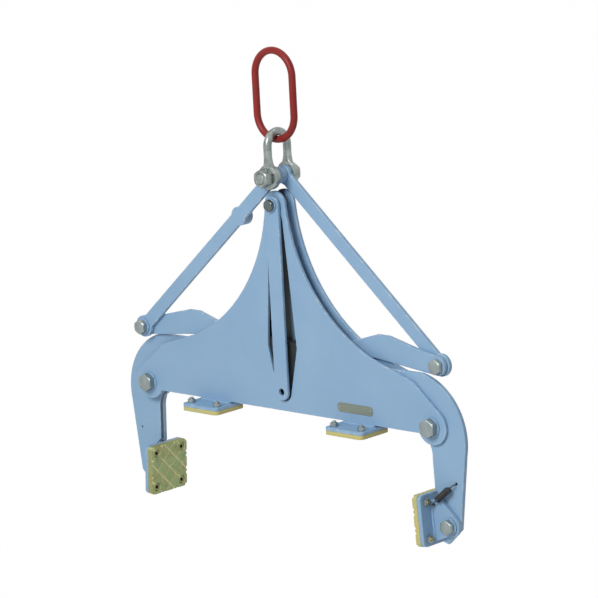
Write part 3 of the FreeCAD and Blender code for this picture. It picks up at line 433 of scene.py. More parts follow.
# Top of the body: a flanged bush on an M12 bolt carries the swing bar, a spacer tube keeps the plates apart.
# Turned steel, zinc plated, the bolt blackened, with a painted washer under its head and under its nut.
JOURNAL_END = 23.6
M12_FLATS = 19
M12_HEAD = 7.5
M12_NUT = 10
bush_rows = [(6.3, 0), (9, 0), (9, 6.4), (13, 6.4), (13, 8.4), (6.3, 8.4)]
turned_piece("bar_flanged_bush", bush_rows, 0, APEX, -JOURNAL_END, "frame", ZINC, "bar_bush")
turned_piece("apex_spacer_tube", washer_rows(11, 6.3, 2 * PLATE_INNER), 0, APEX, -PLATE_INNER, "frame", ZINC,
             "apex_spacer")
BLACKENED = ("zinc_steel", plated("blackened_steel", (0.10, 0.12, 0.125), (0.16, 0.18, 0.18), 0.35))
length = JOURNAL_END + PLATE_OUTER + 2 * WASHER + M12_NUT + BOLT_TAIL
turned_piece("apex_hex_bolt", bolt_rows(M12_FLATS, M12_HEAD, 6, length, 13), 0, APEX,
             -JOURNAL_END - WASHER - M12_HEAD, "frame", BLACKENED, "apex_bolt")
washers = [across_plates(washer_rows(12, 6.3, WASHER), 0, APEX, start)
           for start in (-JOURNAL_END - WASHER, PLATE_OUTER)]
settle("apex_flat_washers", *joined(washers), "frame", BLUE_PAINT, ["apex_washers"])
turned_piece("apex_hex_nut", nut_rows(M12_FLATS, M12_NUT, 6.1), 0, APEX, PLATE_OUTER + WASHER, "frame", ZINC,
             "apex_nut")


# Swing bar: a flat bar with round ends that hangs in front of the slot on the bush, a hole at its foot.
# Cut from 6 mm steel and powder coated with the body.
BAR_HALF = 15.5
BAR_FOOT = 22.5
BAR_FRONT = -23.4
bar_edge = trace([
    (BAR_HALF, APEX, BAR_HALF, 1), (0, APEX + BAR_HALF, BAR_HALF, 1), (-BAR_HALF, APEX),
    (-BAR_HALF, BAR_FOOT, BAR_HALF, 1), (0, BAR_FOOT - BAR_HALF, BAR_HALF, 1), (BAR_HALF, BAR_FOOT),
])
bar_holes = [hole(0, APEX, 9.06), hole(0, BAR_FOOT, 6.5)]
points, faces, edge = cut_plate(bar_edge, bar_holes, PLATE_THICK, 0.8, 2.5)
settle("hanging_swing_bar", facing(points, BAR_FRONT), faces, "swing_bar", BLUE_PAINT, ["swing_bar"], edge)


# Grip arms: one bent lever shape cut twice from 8 mm steel, the second turned half round behind the first.
# Each turns on its pivot sleeve, with a stiffener strip welded behind its throat. The throat walls carry a
# painted shade in dark blue, and the levers a near-black painted shade where they cross inside the body.
LEVER_X = 350
LEVER_Z = 105
LEVER_ROUND = 17
PAD_X = 379
PAD_Z = -171
THROAT_ROUND = 48
HOOK_HOLE = 2.6
STRIP_TOP = 32.4
arm_edge = trace([
    (354, -204), (354, -123), (340.5, -112), (338, -57, THROAT_ROUND, 1), (312, -11), (-205, 104),
    (-LEVER_X, LEVER_Z - LEVER_ROUND, LEVER_ROUND, -1), (-LEVER_X - LEVER_ROUND, LEVER_Z, LEVER_ROUND, -1),
    (-LEVER_X, LEVER_Z + LEVER_ROUND), (-302, 131), (-240, 146), (-213, 146), (-150, 127), (240, 91),
    (322, 91, 116, -1), (411.5, -45), (395.5, -178), (366, -207),
])
arm_holes = [hole(PIVOT_X, 0, 14.06), hole(-LEVER_X, LEVER_Z, 8.3), hole(PAD_X, PAD_Z, 8.1),
             hole(389.5, -96, HOOK_HOLE, 20)]
points, faces, edge = cut_plate(arm_edge, arm_holes, ARM_THICK, 1.0)
x, z, depth = points.T
# The throat walls are marked -1 for a dark blue painted shade.
throat = (x > 300) & (x < 341) & (z > -113) & (z < -10) & (np.hypot(x - PIVOT_X, z) > 15)
on_wall = np.abs(depth - ARM_THICK / 2) < 3.1
edge = np.where(throat & on_wall, -1.0, edge)
points = facing(points, FRONT_ARM)
# The levers are painted near black as shade where they cross inside the body.
SHADED_LEVER = ("blue_paint", painted("blue_coat_greased_lever", *blue_coat, (-0.066, 0.066, 1.0)))
settle("right_grip_arm", points, faces, "right_arm", SHADED_LEVER, ["right_arm"], edge)
settle("left_grip_arm", half_turned(points), faces, "left_arm", SHADED_LEVER, ["left_arm"], edge)
strip_edge = trace([
    (340.5, -117), (340.5, -112), (338, -57, THROAT_ROUND, 1), (331.537, -29.470, STRIP_TOP, 1),
    (352.838, -31.438), (360.5, -57), (360.5, -117),
])
for side, front in (("right", -0.4), ("left", 8.4)):
    outer = strip_edge if side == "right" else strip_edge * (-1, 1)
    points, faces, edge = cut_plate(outer, [], ARM_THICK, 0.8, 1.4)
    settle(side + "_stiffener_strip", facing(points, front), faces, side + "_arm", BLUE_PAINT,
           [side + "_arm_strip"], edge)


# Lever-end joints: an M16 headed pin and a painted washer through each lever end and link foot, kept by a
# snap ring in a groove. Zinc plated; the left pin rides on the right arm and the right pin on the left arm.
M16_FLATS = 24
M16_HEAD = 10
M16_WASHER = washer_rows(15.5, 8.3, WASHER)
SNAP_OUTER = 12.0
SNAP_INNER = 7.3
SNAP_THICK = 1.5
GROOVE_START = 30.2
GROOVE_END = 31.7
outer_bow = np.radians(np.linspace(-67.98, 247.98, 80))
inner_bow = np.radians(np.linspace(231.95, -51.95, 60))
snap_edge = np.concatenate([SNAP_OUTER * np.stack([np.cos(outer_bow), np.sin(outer_bow)], axis=1),
                            SNAP_INNER * np.stack([np.cos(inner_bow), np.sin(inner_bow)], axis=1)])
for side, x, head, washer, snap, arm in (("left", -LEVER_X, -30.6, -20.6, -0.4, "right_arm"),
                                         ("right", LEVER_X, -9.6, 17.6, 20.6, "left_arm")):
    rows = bolt_rows(M16_FLATS, M16_HEAD, 8, 23.7)
    groove = [(8, GROOVE_START), (7.2, GROOVE_START), (7.2, GROOVE_END), (8, GROOVE_END)]
    turned_piece(side + "_lever_hex_bolt", rows[:-4] + groove + rows[-3:], x, LEVER_Z, head, arm, ZINC,
                 side + "_lever_bolt")
    turned_piece(side + "_lever_flat_washer", M16_WASHER, x, LEVER_Z, washer, arm, BLUE_PAINT,
                 side + "_lever_washer")
    points, faces, _ = cut_plate(snap_edge + (x, LEVER_Z), [], SNAP_THICK, 0.2, 0.6)
    settle(side + "_lever_snap_ring", facing(points, snap), faces, arm, ZINC, [side + "_lever_clip"])


# Link bars: two flat bars with round eyes that hang on the shackle pin and pull the lever ends up.
# Cut from 8 mm steel and powder coated; the left one widens round a boss welded to its back.
PIN_HEIGHT = 412.0
LINK_REACH = 465.563
LINK_LEAN = math.radians(48.745)
LINK_HALF = 12.5
LINK_THICK = 8.0
TOP_EYE = 17
FOOT_EYE = 20
BOSS_REACH = 119.0
BOSS_RADIUS = 17.3
BOSS_HIGH = 13
top_ease = math.sqrt(TOP_EYE ** 2 - LINK_HALF ** 2)
foot_ease = math.sqrt(FOOT_EYE ** 2 - LINK_HALF ** 2)
boss_ease = math.sqrt(BOSS_RADIUS ** 2 - LINK_HALF ** 2)
link_head = [(LINK_HALF, -top_ease, TOP_EYE, 1), (TOP_EYE, 0, TOP_EYE, 1), (0, TOP_EYE, TOP_EYE, 1),
             (-TOP_EYE, 0, TOP_EYE, 1), (-LINK_HALF, -top_ease)]
link_foot = [(-LINK_HALF, -LINK_REACH + foot_ease, FOOT_EYE, 1), (-FOOT_EYE, -LINK_REACH, FOOT_EYE, 1),
             (0, -LINK_REACH - FOOT_EYE, FOOT_EYE, 1), (FOOT_EYE, -LINK_REACH, FOOT_EYE, 1),
             (LINK_HALF, -LINK_REACH + foot_ease)]
boss_left = [(-LINK_HALF, -BOSS_REACH + boss_ease, BOSS_RADIUS, 1), (-LINK_HALF, -BOSS_REACH - boss_ease)]
boss_right = [(LINK_HALF, -BOSS_REACH - boss_ease, BOSS_RADIUS, 1), (LINK_HALF, -BOSS_REACH + boss_ease)]


def leaned(flat, side):
    """Link points (x, z) below the pin, leaned out about the pin to the left (+1) or to the right (-1)."""
    lean = LINK_LEAN * side
    return np.stack([flat[:, 0] * math.cos(lean) + flat[:, 1] * math.sin(lean),
                     PIN_HEIGHT - flat[:, 0] * math.sin(lean) + flat[:, 1] * math.cos(lean)], axis=1)


for side, lean, front, corners in (("left", 1, -17.2, link_head + boss_left + link_foot + boss_right),
                                   ("right", -1, 9.2, link_head + link_foot)):
    eyes = [leaned(hole(0, 0, 9.56), lean), leaned(hole(0, -LINK_REACH, 12.1), lean)]
    points, faces, edge = cut_plate(leaned(trace(corners), lean), eyes, LINK_THICK, 1.0)
    settle(side + "_link_bar", facing(points, front), faces, side + "_link", BLUE_PAINT, [side + "_link"],
           edge)
boss_rows = [(0, 0)] + washer_rows(BOSS_RADIUS, 16, BOSS_HIGH, 1.0)[1:-1] + [(0, BOSS_HIGH)]
boss_x, boss_z = leaned(np.array([[0, -BOSS_REACH]]), 1)[0]
turned_piece("left_link_boss", boss_rows, boss_x, boss_z, -9.2, "left_link", BLUE_PAINT, "link_boss")


# Shackle: a bow forged from 15 mm round bar, its legs swelling into flat eyes; the pin goes through the eyes
# and both links with a hex head behind and a nut in front. Galvanised; a spacer tube keeps the links apart.
def drawn_bar(path, wide, deep, guide, steps=32, close=False):
    """Round bar: an ellipse of half-axes wide (along the guide, squared to the path) and deep (across it)
    carried along the path, with the path's own direction taken from its neighbouring points."""
    if close:
        along = np.roll(path, -1, axis=0) - np.roll(path, 1, axis=0)
    else:
        along = np.gradient(path, axis=0)
    along = along / np.linalg.norm(along, axis=1, keepdims=True)
    guide = np.broadcast_to(np.asarray(guide, float), path.shape)
    first = guide - along * np.sum(guide * along, axis=1, keepdims=True)
    first = first / np.linalg.norm(first, axis=1, keepdims=True)
    second = np.cross(along, first)
    angle = 2 * np.pi * np.arange(steps) / steps
    wide = np.broadcast_to(np.asarray(wide, float), len(path))[:, None, None]
    deep = np.broadcast_to(np.asarray(deep, float), len(path))[:, None, None]
    points = (path[:, None] + first[:, None] * wide * np.cos(angle)[None, :, None]
              + second[:, None] * deep * np.sin(angle)[None, :, None])
    faces = strip_faces(len(path), steps, close).tolist()
    if not close:
        last = (len(path) - 1) * steps
        faces += [list(range(steps))[::-1], list(range(last, last + steps))]
    return points.reshape(-1, 3), faces


GALVANISED = ("zinc_steel", plated("galvanised_forging", (0.37, 0.41, 0.39), (0.17, 0.205, 0.195), 0.30,
                                   180.0))

BOW_RADIUS = 25.1
BOW_BAR = 7.5
LEG_FOOT = 18.4
LEG_TOP = 53.3
EAR_OUTER = 30.6
EAR_INNER = 17.6
EAR_THICK = 13
EAR_PLAY = 0.3
PIN_HEAD = 10
PIN_NUT = 18
PIN_NOSE = 19
up = np.linspace(LEG_FOOT, LEG_TOP, 24)
swing = np.linspace(0, np.pi, 49)[1:-1]
bow_y = np.concatenate([0 * up - BOW_RADIUS, -BOW_RADIUS * np.cos(swing), 0 * up + BOW_RADIUS])
bow_z = np.concatenate([up, LEG_TOP + BOW_RADIUS * np.sin(swing), up[::-1]])
flat = np.clip(1 - (bow_z - LEG_FOOT) / 17, 0, 1) ** 1.5
bow_path = np.stack([0 * bow_y, bow_y - np.sign(bow_y) * flat, bow_z + PIN_HEIGHT + PIVOT_LINE], axis=1)
bow = [drawn_bar(bow_path, BOW_BAR + 5.2 * flat, BOW_BAR - flat, (1, 0, 0))]
for start in (-EAR_OUTER, EAR_INNER):
    bow.append(across_plates(washer_rows(22.5, 9.56, EAR_THICK, 2.4), 0, PIN_HEIGHT, start))
settle("shackle_forged_bow", *joined(bow), "shackle", GALVANISED, ["shackle_bow"])
pin_rows = bolt_rows(M20_FLATS, PIN_HEAD, 9.5, 2 * EAR_OUTER + EAR_PLAY + PIN_NOSE, 20)
turned_piece("shackle_hex_pin", pin_rows, 0, PIN_HEIGHT, EAR_OUTER + EAR_PLAY + PIN_HEAD, "hoist_pin",
             GALVANISED, "shackle_pin", -1)
turned_piece("shackle_hex_nut", nut_rows(M20_FLATS, PIN_NUT, 9.6), 0, PIN_HEIGHT,
             -EAR_OUTER - EAR_PLAY, "hoist_pin", GALVANISED, "shackle_nut", -1)
turned_piece("shackle_pin_spacer", washer_rows(15, 9.8, 17.8), 0, PIN_HEIGHT, -8.9, "hoist_pin", BLUE_PAINT,
             "pin_spacer")


# Master link: an oblong ring bent from 13 mm alloy bar and butt welded, painted red.
# It is threaded through the shackle bow and takes the crane hook.
red_coat = painted("red_lifting_paint", (0.240, 0.020, 0.018), (0.285, 0.030, 0.026), (0.34, 0.08, 0.07),
                   0.34)
red_coat.node_tree.nodes["Principled BSDF"].inputs["Specular IOR Level"].default_value = 0.2
RED_PAINT = ("red_paint", red_coat)

RING_HALF = 44.5
RING_TOP = -38
RING_FOOT = -107
RING_BAR = 6.5
half = np.linspace(0, np.pi, 61)
side_run = np.linspace(RING_FOOT, RING_TOP, 30)[1:-1]
end_x = RING_HALF * np.cos(half)
end_z = RING_HALF * np.sin(half)
ring_x = np.concatenate([end_x, 0 * side_run - RING_HALF, -end_x, 0 * side_run + RING_HALF])
ring_z = np.concatenate([RING_TOP + end_z, side_run[::-1], RING_FOOT - end_z, side_run])
ring_path = np.stack([ring_x, 0 * ring_x, ring_z], axis=1)
points, faces = drawn_bar(ring_path, RING_BAR, RING_BAR, (0, 1, 0), close=True)
settle("master_link_ring", points, faces, "master_link", RED_PAINT, ["master_link"])


# Pad plates: a square of 8 mm steel with a lug welded square behind it, which swivels on a bolt in the arm.
# Powder coated; the left one is the right one turned half round.
PAD_PIVOT = np.array([PAD_X, 0.0, PAD_Z + PIVOT_LINE])
PAD_TILT = math.radians(-3.9)
PAD_HALF = 46
PAD_CORNER = 9
PAD_MIDDLE = 11
PAD_BOLT = 32.5
PAD_STEEL = -46
PAD_STEEL_THICK = 8.0
LUG_FRONT = -17.2


def rounded(half_wide, half_high, corner, x=0.0, z=0.0):
    """Outline of a rectangle of those half sizes about (x, z), its corners rounded."""
    flat = half_wide - corner
    tall = half_high - corner
    return trace([(x + half_wide, z + tall, corner, 1), (x + flat, z + half_high),
                  (x - flat, z + half_high, corner, 1), (x - half_wide, z + tall),
                  (x - half_wide, z - tall, corner, 1), (x - flat, z - half_high),
                  (x + flat, z - half_high, corner, 1), (x + half_wide, z - tall)])


def on_pad(points, side):
    """Pad points (from the pad's pivot, x away from the load) tilted about the pivot and set on their arm."""
    x = points[:, 0] * math.cos(PAD_TILT) + points[:, 2] * math.sin(PAD_TILT)
    z = points[:, 2] * math.cos(PAD_TILT) - points[:, 0] * math.sin(PAD_TILT)
    placed = PAD_PIVOT + np.stack([x, points[:, 1], z], axis=1)
    return placed if side == "right" else half_turned(placed)


def weld_bead(start, end, size):
    """Weld bead: a round of the given size along a straight seam, its radius rippling along the run."""
    share = np.linspace(0, 1, 80)[:, None]
    path = np.asarray(start) * (1 - share) + np.asarray(end) * share
    length = np.linalg.norm(np.subtract(end, start))
    along = share[:, 0]
    ripple = size * (1 + 0.13 * np.sin(along * length / 2.6 * 2 * np.pi) + 0.05 * np.sin(along * 37))
    ends = np.sqrt(np.clip(1 - np.abs(2 * along - 1) ** 24, 0.02, 1))
    return drawn_bar(path, ripple * ends, ripple * ends, (0.37, 0.61, 0.53), 12)


pad_square = rounded(PAD_HALF, PAD_HALF, PAD_CORNER, 0, PAD_MIDDLE)
pad_spots = [(y, z) for y in (-PAD_BOLT, PAD_BOLT) for z in (PAD_MIDDLE - PAD_BOLT, PAD_MIDDLE + PAD_BOLT)]
lug_edge = trace([(-38, 45), (-38, -30), (-6.84, -18.79, 20, 1), (15.32, 12.86), (-16, 45)])
for side in ("right", "left"):
    points, faces, edge = cut_plate(pad_square, [hole(y, z, 4.3) for y, z in pad_spots], PAD_STEEL_THICK)
    square = np.stack([PAD_STEEL + points[:, 2], points[:, 0], points[:, 1]], axis=1)
    lug_holes = [hole(0, 0, 8.06), hole(-32, 36, HOOK_HOLE, 20)]
    lug_points, lug_faces, lug_mark = cut_plate(lug_edge, lug_holes, PAD_STEEL_THICK, 0.8, 1.2)
    lug = np.stack([lug_points[:, 0], LUG_FRONT + lug_points[:, 2], lug_points[:, 1]], axis=1)
    beads = [weld_bead((-37.2, -17.9, -29), (-37.2, -17.9, 44), 2.3),
             weld_bead((-37.2, -8.6, -29), (-37.2, -8.6, 40), 2.0)]
    marks = np.concatenate([edge, lug_mark] + [0.3 * np.ones(len(bead[0])) for bead in beads])
    points, faces = joined([(square, faces), (lug, lug_faces)] + beads)
    settle(side + "_pad_plate_and_lug", on_pad(points, side), faces, side + "_pad", BLUE_PAINT,
           [side + "_pad_plate"], marks)


# Grip pads: a block of cast urethane on each pad plate, its face cut into diamonds by crossing grooves
# that notch its edges, with four deep counterbores for the screws.
def grooved_block(half_wide, corner, thick, spots, sink, depth, pitch, groove):
    """Urethane block: a square grid whose rows are narrowed to the rounded outline, pressed in where the
    distance to a diagonal groove line is small and round each counterbore; then an eased wall down to the
    back. Returns points (across, up, depth), faces, and each point's wear: 1 on the face, -1 in a groove,
    0 on the wall."""
    ease, slope, bore_slope, land, groove_deep = 1.4, 1.2, 0.7, 2.2, 2.4
    steps = 150
    inner = half_wide - ease
    u, v = np.meshgrid(np.linspace(-inner, inner, steps), np.linspace(-inner, inner, steps))
    bend = inner - corner + ease
    past = np.clip(np.abs(v) - bend, 0, None)
    width = bend + np.sqrt(np.clip((corner - ease) ** 2 - past ** 2, 0, None))
    x = u * width / inner
    lines = [np.abs(((x + sign * v) / math.sqrt(2) + pitch / 2) % pitch - pitch / 2) for sign in (1, -1)]
    cut = np.clip((groove / 2 + slope / 2 - np.minimum(*lines)) / slope, 0, 1)
    away = np.min([np.hypot(x - a, v - b) for a, b in spots], axis=0)
    cut = cut * np.clip((away - sink - land) / slope, 0, 1)
    bored = np.clip((sink + bore_slope / 2 - away) / bore_slope, 0, 1)
    down = np.maximum(groove_deep * cut, depth * bored)
    worn = (1 - 2 * cut) * (1 - bored)
    face = np.stack([x, v, down], axis=-1).reshape(-1, 3)
    index = np.arange(steps * steps).reshape(steps, steps)
    rim = np.concatenate([index[0, :-1], index[:-1, -1], index[-1, :0:-1], index[:0:-1, 0]])
    turn = np.linspace(0, np.pi / 2, 4)[1:]
    grow = np.concatenate([(inner + ease * np.sin(turn)) / inner, [half_wide / inner]])
    drop = np.concatenate([ease * (1 - np.cos(turn)), [0]])
    wall = face[rim][None] * np.stack([grow, grow, np.ones(4)], axis=1)[:, None]
    wall[:, :, 2] += drop[:, None]
    wall[-1, :, 2] = thick
    points = np.concatenate([face, wall.reshape(-1, 3)])
    rings = np.concatenate([rim[None], steps * steps + np.arange(4 * len(rim)).reshape(4, -1)])
    sides = strip_faces(5, len(rim), False)
    faces = strip_faces(steps, steps, False, False).tolist() + rings.reshape(-1)[sides].tolist()
    faces.append(rings[-1].tolist())
    return points, faces, np.concatenate([worn.reshape(-1), np.zeros(4 * len(rim))])


def cast_urethane():
    """Cast urethane: clean yellow-green where it is cut, dulled to olive grey with stains and grime on the
    face that meets loads, pale with dust in the grooves, a brown painted shade where the mark is over 1,
    chalky scuffs."""
    material, tree, shader, where = new_finish("cast_urethane")
    clean = tinted(tree, ramped(tree, cloud(tree, where, 26.0), 0.35, 0.7), (0.61, 0.53, 0.185),
                   (0.54, 0.52, 0.23))
    dull = tinted(tree, ramped(tree, cloud(tree, where, 45.0, 5.0), 0.35, 0.68), (0.375, 0.500, 0.200),
                  (0.45, 0.565, 0.275))
    stain = ramped(tree, cloud(tree, where, 34.0, 5.0), 0.50, 0.66, 0.0, 0.7)
    dull = tinted(tree, stain, dull, (0.50, 0.455, 0.165))
    grime = ramped(tree, cloud(tree, where, 85.0, 6.0), 0.52, 0.70, 0.0, 0.5)
    dull = tinted(tree, grime, dull, (0.20, 0.215, 0.110))
    shade = tinted(tree, edge_share(tree), clean, dull)
    shade = tinted(tree, below_zero(tree), shade, (0.82, 0.82, 0.52))
    # Brown painted shade where the mark is over 1: the walls of the left pad.
    shade = tinted(tree, ramped(tree, edge_share(tree), 1.0, 2.0), shade, (0.25, 0.20, 0.075))
    scuff = ramped(tree, cloud(tree, where, 120.0, 6.0), 0.58, 0.72, 0.0, 0.45)
    shade = tinted(tree, reckoned(tree, "MULTIPLY", scuff, edge_share(tree)), shade, (0.46, 0.46, 0.33))
    gloss = ramped(tree, cloud(tree, where, 60.0, 4.0), 0.3, 0.7, 0.5, 0.72)
    surfaced(tree, shader, shade, gloss, cloud(tree, where, 340.0, 5.0), 0.0002, 0.4)
    shader.inputs["Subsurface Weight"].default_value = 0.08
    shader.inputs["Subsurface Radius"].default_value = (0.004, 0.003, 0.001)
    return material


URETHANE = ("urethane", cast_urethane())
PAD_FACE = -57
LEFT_WALL_SHADE = 1.55
pad_holes = [(y, z - PAD_MIDDLE) for y, z in pad_spots]
for side in ("right", "left"):
    points, faces, worn = grooved_block(PAD_HALF, PAD_CORNER, thick=11, spots=pad_holes, sink=7.5, depth=6.0,
                                        pitch=23.0, groove=3.2)
    # The left pad's walls get a brown painted shade.
    if side == "left":
        on_wall = (points[:, 2] > 0.1) & (np.abs(points[:, :2]).max(axis=1) > PAD_HALF - 1)
        worn = np.where(on_wall, LEFT_WALL_SHADE, worn)
    block = np.stack([PAD_FACE + points[:, 2], points[:, 0], points[:, 1] + PAD_MIDDLE], axis=1)
    settle(side + "_urethane_pad", on_pad(block, side), faces, side + "_pad", URETHANE, [side + "_pad"],
           worn, 50)


# Pad screws: M8 socket-head screws sunk in the pad's counterbores, with a hex nut behind the pad plate.
# Zinc plated; the heads are brown with dust and their sockets painted near black as shade.
def screw_rows(head_radius, head, radius, length, thread):
    """Socket screw from the floor of its hexagon socket: up the socket, over the eased head, down the shank,
    thread ridges at the end."""
    socket = radius * 1.7
    rows = [(0, head * 0.55), (radius * 2, head * 0.55, socket), (radius * 2, 0.2, socket), (radius, 0),
            (head_radius - 0.5, 0), (head_radius - 0.15, 0.15), (head_radius, 0.5), (head_radius, head)]
    return rows + bolt_rows(10, head, radius, length, thread)[10:]


def through_pad(points, y, z, start):
    """Turned points set with their axis along the pad's own X from x = start, at (y, z) on the pad."""
    return np.stack([start + points[:, 2], y + points[:, 0], z + points[:, 1]], axis=1)


SCREW_SUNK = 2
SOCKET_ROWS = 3
SCREW_STEPS = 48
M8_NUT = nut_rows(13, 6.5, 4.1)
for side in ("right", "left"):
    screws, nuts, socket_shade_and_dust = [], [], []
    for y, z in pad_spots:
        rows = screw_rows(head_radius=6.5, head=4, radius=4, length=21, thread=9)
        points, faces = turned(rows, SCREW_STEPS)
        # Socket rows marked 1 for a near-black painted shade, the rest of each screw -1 for dust.
        socket_shade_and_dust.append(np.repeat(np.where(np.arange(len(rows)) < SOCKET_ROWS, 1.0, -1.0), SCREW_STEPS))
        screws.append((on_pad(through_pad(points, y, z, PAD_FACE + SCREW_SUNK), side), faces))
        points, faces = turned(M8_NUT)
        nuts.append((on_pad(through_pad(points, y, z, PAD_STEEL + PAD_STEEL_THICK), side), faces))
    settle(side + "_pad_socket_screws", *joined(screws), side + "_pad", ZINC, [side + "_pad_bolts"],
           np.concatenate(socket_shade_and_dust))
    settle(side + "_pad_hex_nuts", *joined(nuts), side + "_pad", ZINC, [side + "_pad_nuts"])


# Pad pivots: an M16 hex bolt and washer outside each lug, screwed into the arm and flush with its far face.
# Zinc plated with a painted washer; the right one enters from the front, the left one from behind.
PIVOT_HEAD_FACE = 30.6
PIVOT_WASHER_FACE = 20.6
for side, x, sign in (("right", PAD_X, 1), ("left", -PAD_X, -1)):
    rows = bolt_rows(M16_FLATS, M16_HEAD, 8, WASHER - LUG_FRONT)
    turned_piece(side + "_pad_hex_pivot", rows, x, PAD_Z, -sign * PIVOT_HEAD_FACE, side + "_arm",
                 ZINC, side + "_pad_pivot", sign)
    turned_piece(side + "_pad_flat_washer", M16_WASHER, x, PAD_Z, -sign * PIVOT_WASHER_FACE,
                 side + "_arm", BLUE_PAINT, side + "_pad_washer", sign)


# Pad springs: close-wound tension springs of 2.2 mm wire, hooked into the arm and into the lug.
# They hold each pad against its stop; black oiled spring wire.
COIL_TURNS = 12
COIL_RADIUS = 5.0
COIL_PITCH = 3.0
COIL_LEAD = 9.5
WIRE_RADIUS = 1.1
HOOK_BEND = 4.0
HOOK_LONG = 11.0


def spring_wire():
    """Path of one spring wire: straight through the arm's hole, a bend on to the spring's axis, twelve turns
    whose radius grows from nothing and shrinks back in half a turn, and the same bend into the lug's hole."""
    upper = np.array([388.440, -17.14, -724.575])
    lower = np.array([345.685, -25.94, -763.885])
    axis = (lower - upper) / np.linalg.norm(lower - upper)
    out = np.array([0.0, -1.0, 0.0])
    out = out - axis * out.dot(axis)
    out = out / np.linalg.norm(out)
    across = np.cross(axis, out)
    turns = np.linspace(0, COIL_TURNS, COIL_TURNS * 28 + 1)[:, None]
    grow = np.clip(np.minimum(turns, COIL_TURNS - turns) / 0.55, 0, 1)
    radius = COIL_RADIUS * grow * grow * (3 - 2 * grow)
    angle = 2 * np.pi * turns
    around = out * np.cos(angle) + across * np.sin(angle)
    coil = upper + axis * (COIL_LEAD + COIL_PITCH * turns) + radius * around
    share = np.linspace(0, 1, 14)[:, None]

    def bent(corner, first, last):
        return corner + HOOK_BEND * (first * (1 - share) ** 2 + last * share ** 2)

    back = np.array([0.0, 1.0, 0.0])
    straight = np.linspace(0, 1, 6)[:, None]
    top = upper + back * (HOOK_BEND + HOOK_LONG * (1 - straight))
    foot = lower + back * (HOOK_BEND + HOOK_LONG * straight)
    path = np.concatenate([top, bent(upper, back, axis)[1:], coil, bent(lower, -axis, back), foot[1:]])
    return path, 0.64 * axis + 0.54 * out + 0.54 * across, upper, lower


BLACK_WIRE = ("black_wire", plated("black_spring_wire", (0.045, 0.045, 0.05), (0.085, 0.08, 0.075), 0.4))
path, guide, upper, lower = spring_wire()
for side in ("right", "left"):
    points, faces = drawn_bar(path, WIRE_RADIUS, WIRE_RADIUS, guide, 12)
    turn = (lambda where: where) if side == "right" else half_turned
    spring = settle(side + "_tension_spring", turn(points), faces, None, BLACK_WIRE, [side + "_pad_spring"])
    tuple(turn(upper) * 0.001)
    tuple(turn(lower) * 0.001)
    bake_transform(spring)


# Rest feet: a steel plate welded under both body plates and standing out in front, with a smooth urethane
# pad. Two bolts from below hold the pad, heads sunk in it, nuts on top of the plate.
REST_X = 176
REST_TOP = -17.0
REST_FORWARD = 21.0
REST_STEEL = 6.0
REST_URETHANE = 7.5
REST_HEADS = -12.5
SEAM_HALF = 36
SEAM_OUT = 15.9
rest_square = rounded(44, 38, 9)
rest_spots = [(-32, -23), (32, -23)]


def on_rest(points, base, x=0, y=0, level=0.0, way=-1):
    """Points (across, forward, depth) set at (x, y) on a rest foot, the depth running down (-1) or up (+1)
    from the level."""
    return base + np.stack([x + points[:, 0], y + points[:, 1], level + way * points[:, 2]], axis=1)


bolts, nuts = [], []
for side, centre in (("left", -REST_X), ("right", REST_X)):
    points, faces, edge = cut_plate(rest_square, [hole(x, y, 4.3) for x, y in rest_spots], REST_STEEL, 0.8)
    base = np.array([centre, -REST_FORWARD, PIVOT_LINE + REST_TOP])
    steel = on_rest(points, base)
    beads = [weld_bead(base + (-SEAM_HALF, y, 0.6), base + (SEAM_HALF, y, 0.6), 1.9)
             for y in (REST_FORWARD - SEAM_OUT, REST_FORWARD + SEAM_OUT)]
    marks = np.concatenate([edge] + [0.3 * np.ones(len(bead[0])) for bead in beads])
    points, faces = joined([(steel, faces)] + beads)
    settle(side + "_rest_steel_plate", points, faces, "frame", BLUE_PAINT, [side + "_rest_plate"], marks)
    points, faces, _ = cut_plate(rest_square, [hole(x, y, 8.5) for x, y in rest_spots], REST_URETHANE)
    pad = [(on_rest(points, base, level=-REST_STEEL), faces)]
    worn = [points[:, 2] > REST_URETHANE - 0.1]
    for x, y in rest_spots:
        points, faces = turned(washer_rows(8.5, 4.3, 2.5, 0.1), 40)
        pad.append((on_rest(points, base, x, y, -REST_STEEL), faces))
        worn.append(np.zeros(len(points)))
        points, faces = turned(bolt_rows(13, 4, 4, 18, 9), SCREW_STEPS)
        bolts.append((on_rest(points, base, x, y, REST_HEADS, 1), faces))
        points, faces = turned(M8_NUT, SCREW_STEPS)
        nuts.append((on_rest(points, base, x, y, 0.0, 1), faces))
    settle(side + "_rest_urethane_pad", *joined(pad), "frame", URETHANE, [side + "_rest_pad"],
           np.concatenate(worn), 50)
settle("rest_hex_bolts", *joined(bolts), "frame", ZINC, ["rest_bolts"])
settle("rest_hex_nuts", *joined(nuts), "frame", ZINC, ["rest_nuts"])


# Bare plate: a thin aluminium tag on the front body plate, left blank, held by two dome rivets.
# Brushed along its length.
def brushed_tag():
    """Weathered aluminium: dull grey metal with fine streaks drawn out along X in its gloss and height."""
    material, tree, shader, where = new_finish("brushed_aluminium")
    shader.inputs["Metallic"].default_value = 0.5
    streak = cloud(tree, where, 60.0, 4.0, (0.4, 10.0, 14.0))
    shade = tinted(tree, ramped(tree, streak, 0.3, 0.7), (0.20, 0.235, 0.190), (0.26, 0.29, 0.24))
    surfaced(tree, shader, shade, ramped(tree, streak, 0.3, 0.7, 0.32, 0.5), streak, 0.00005, 0.3)
    return material


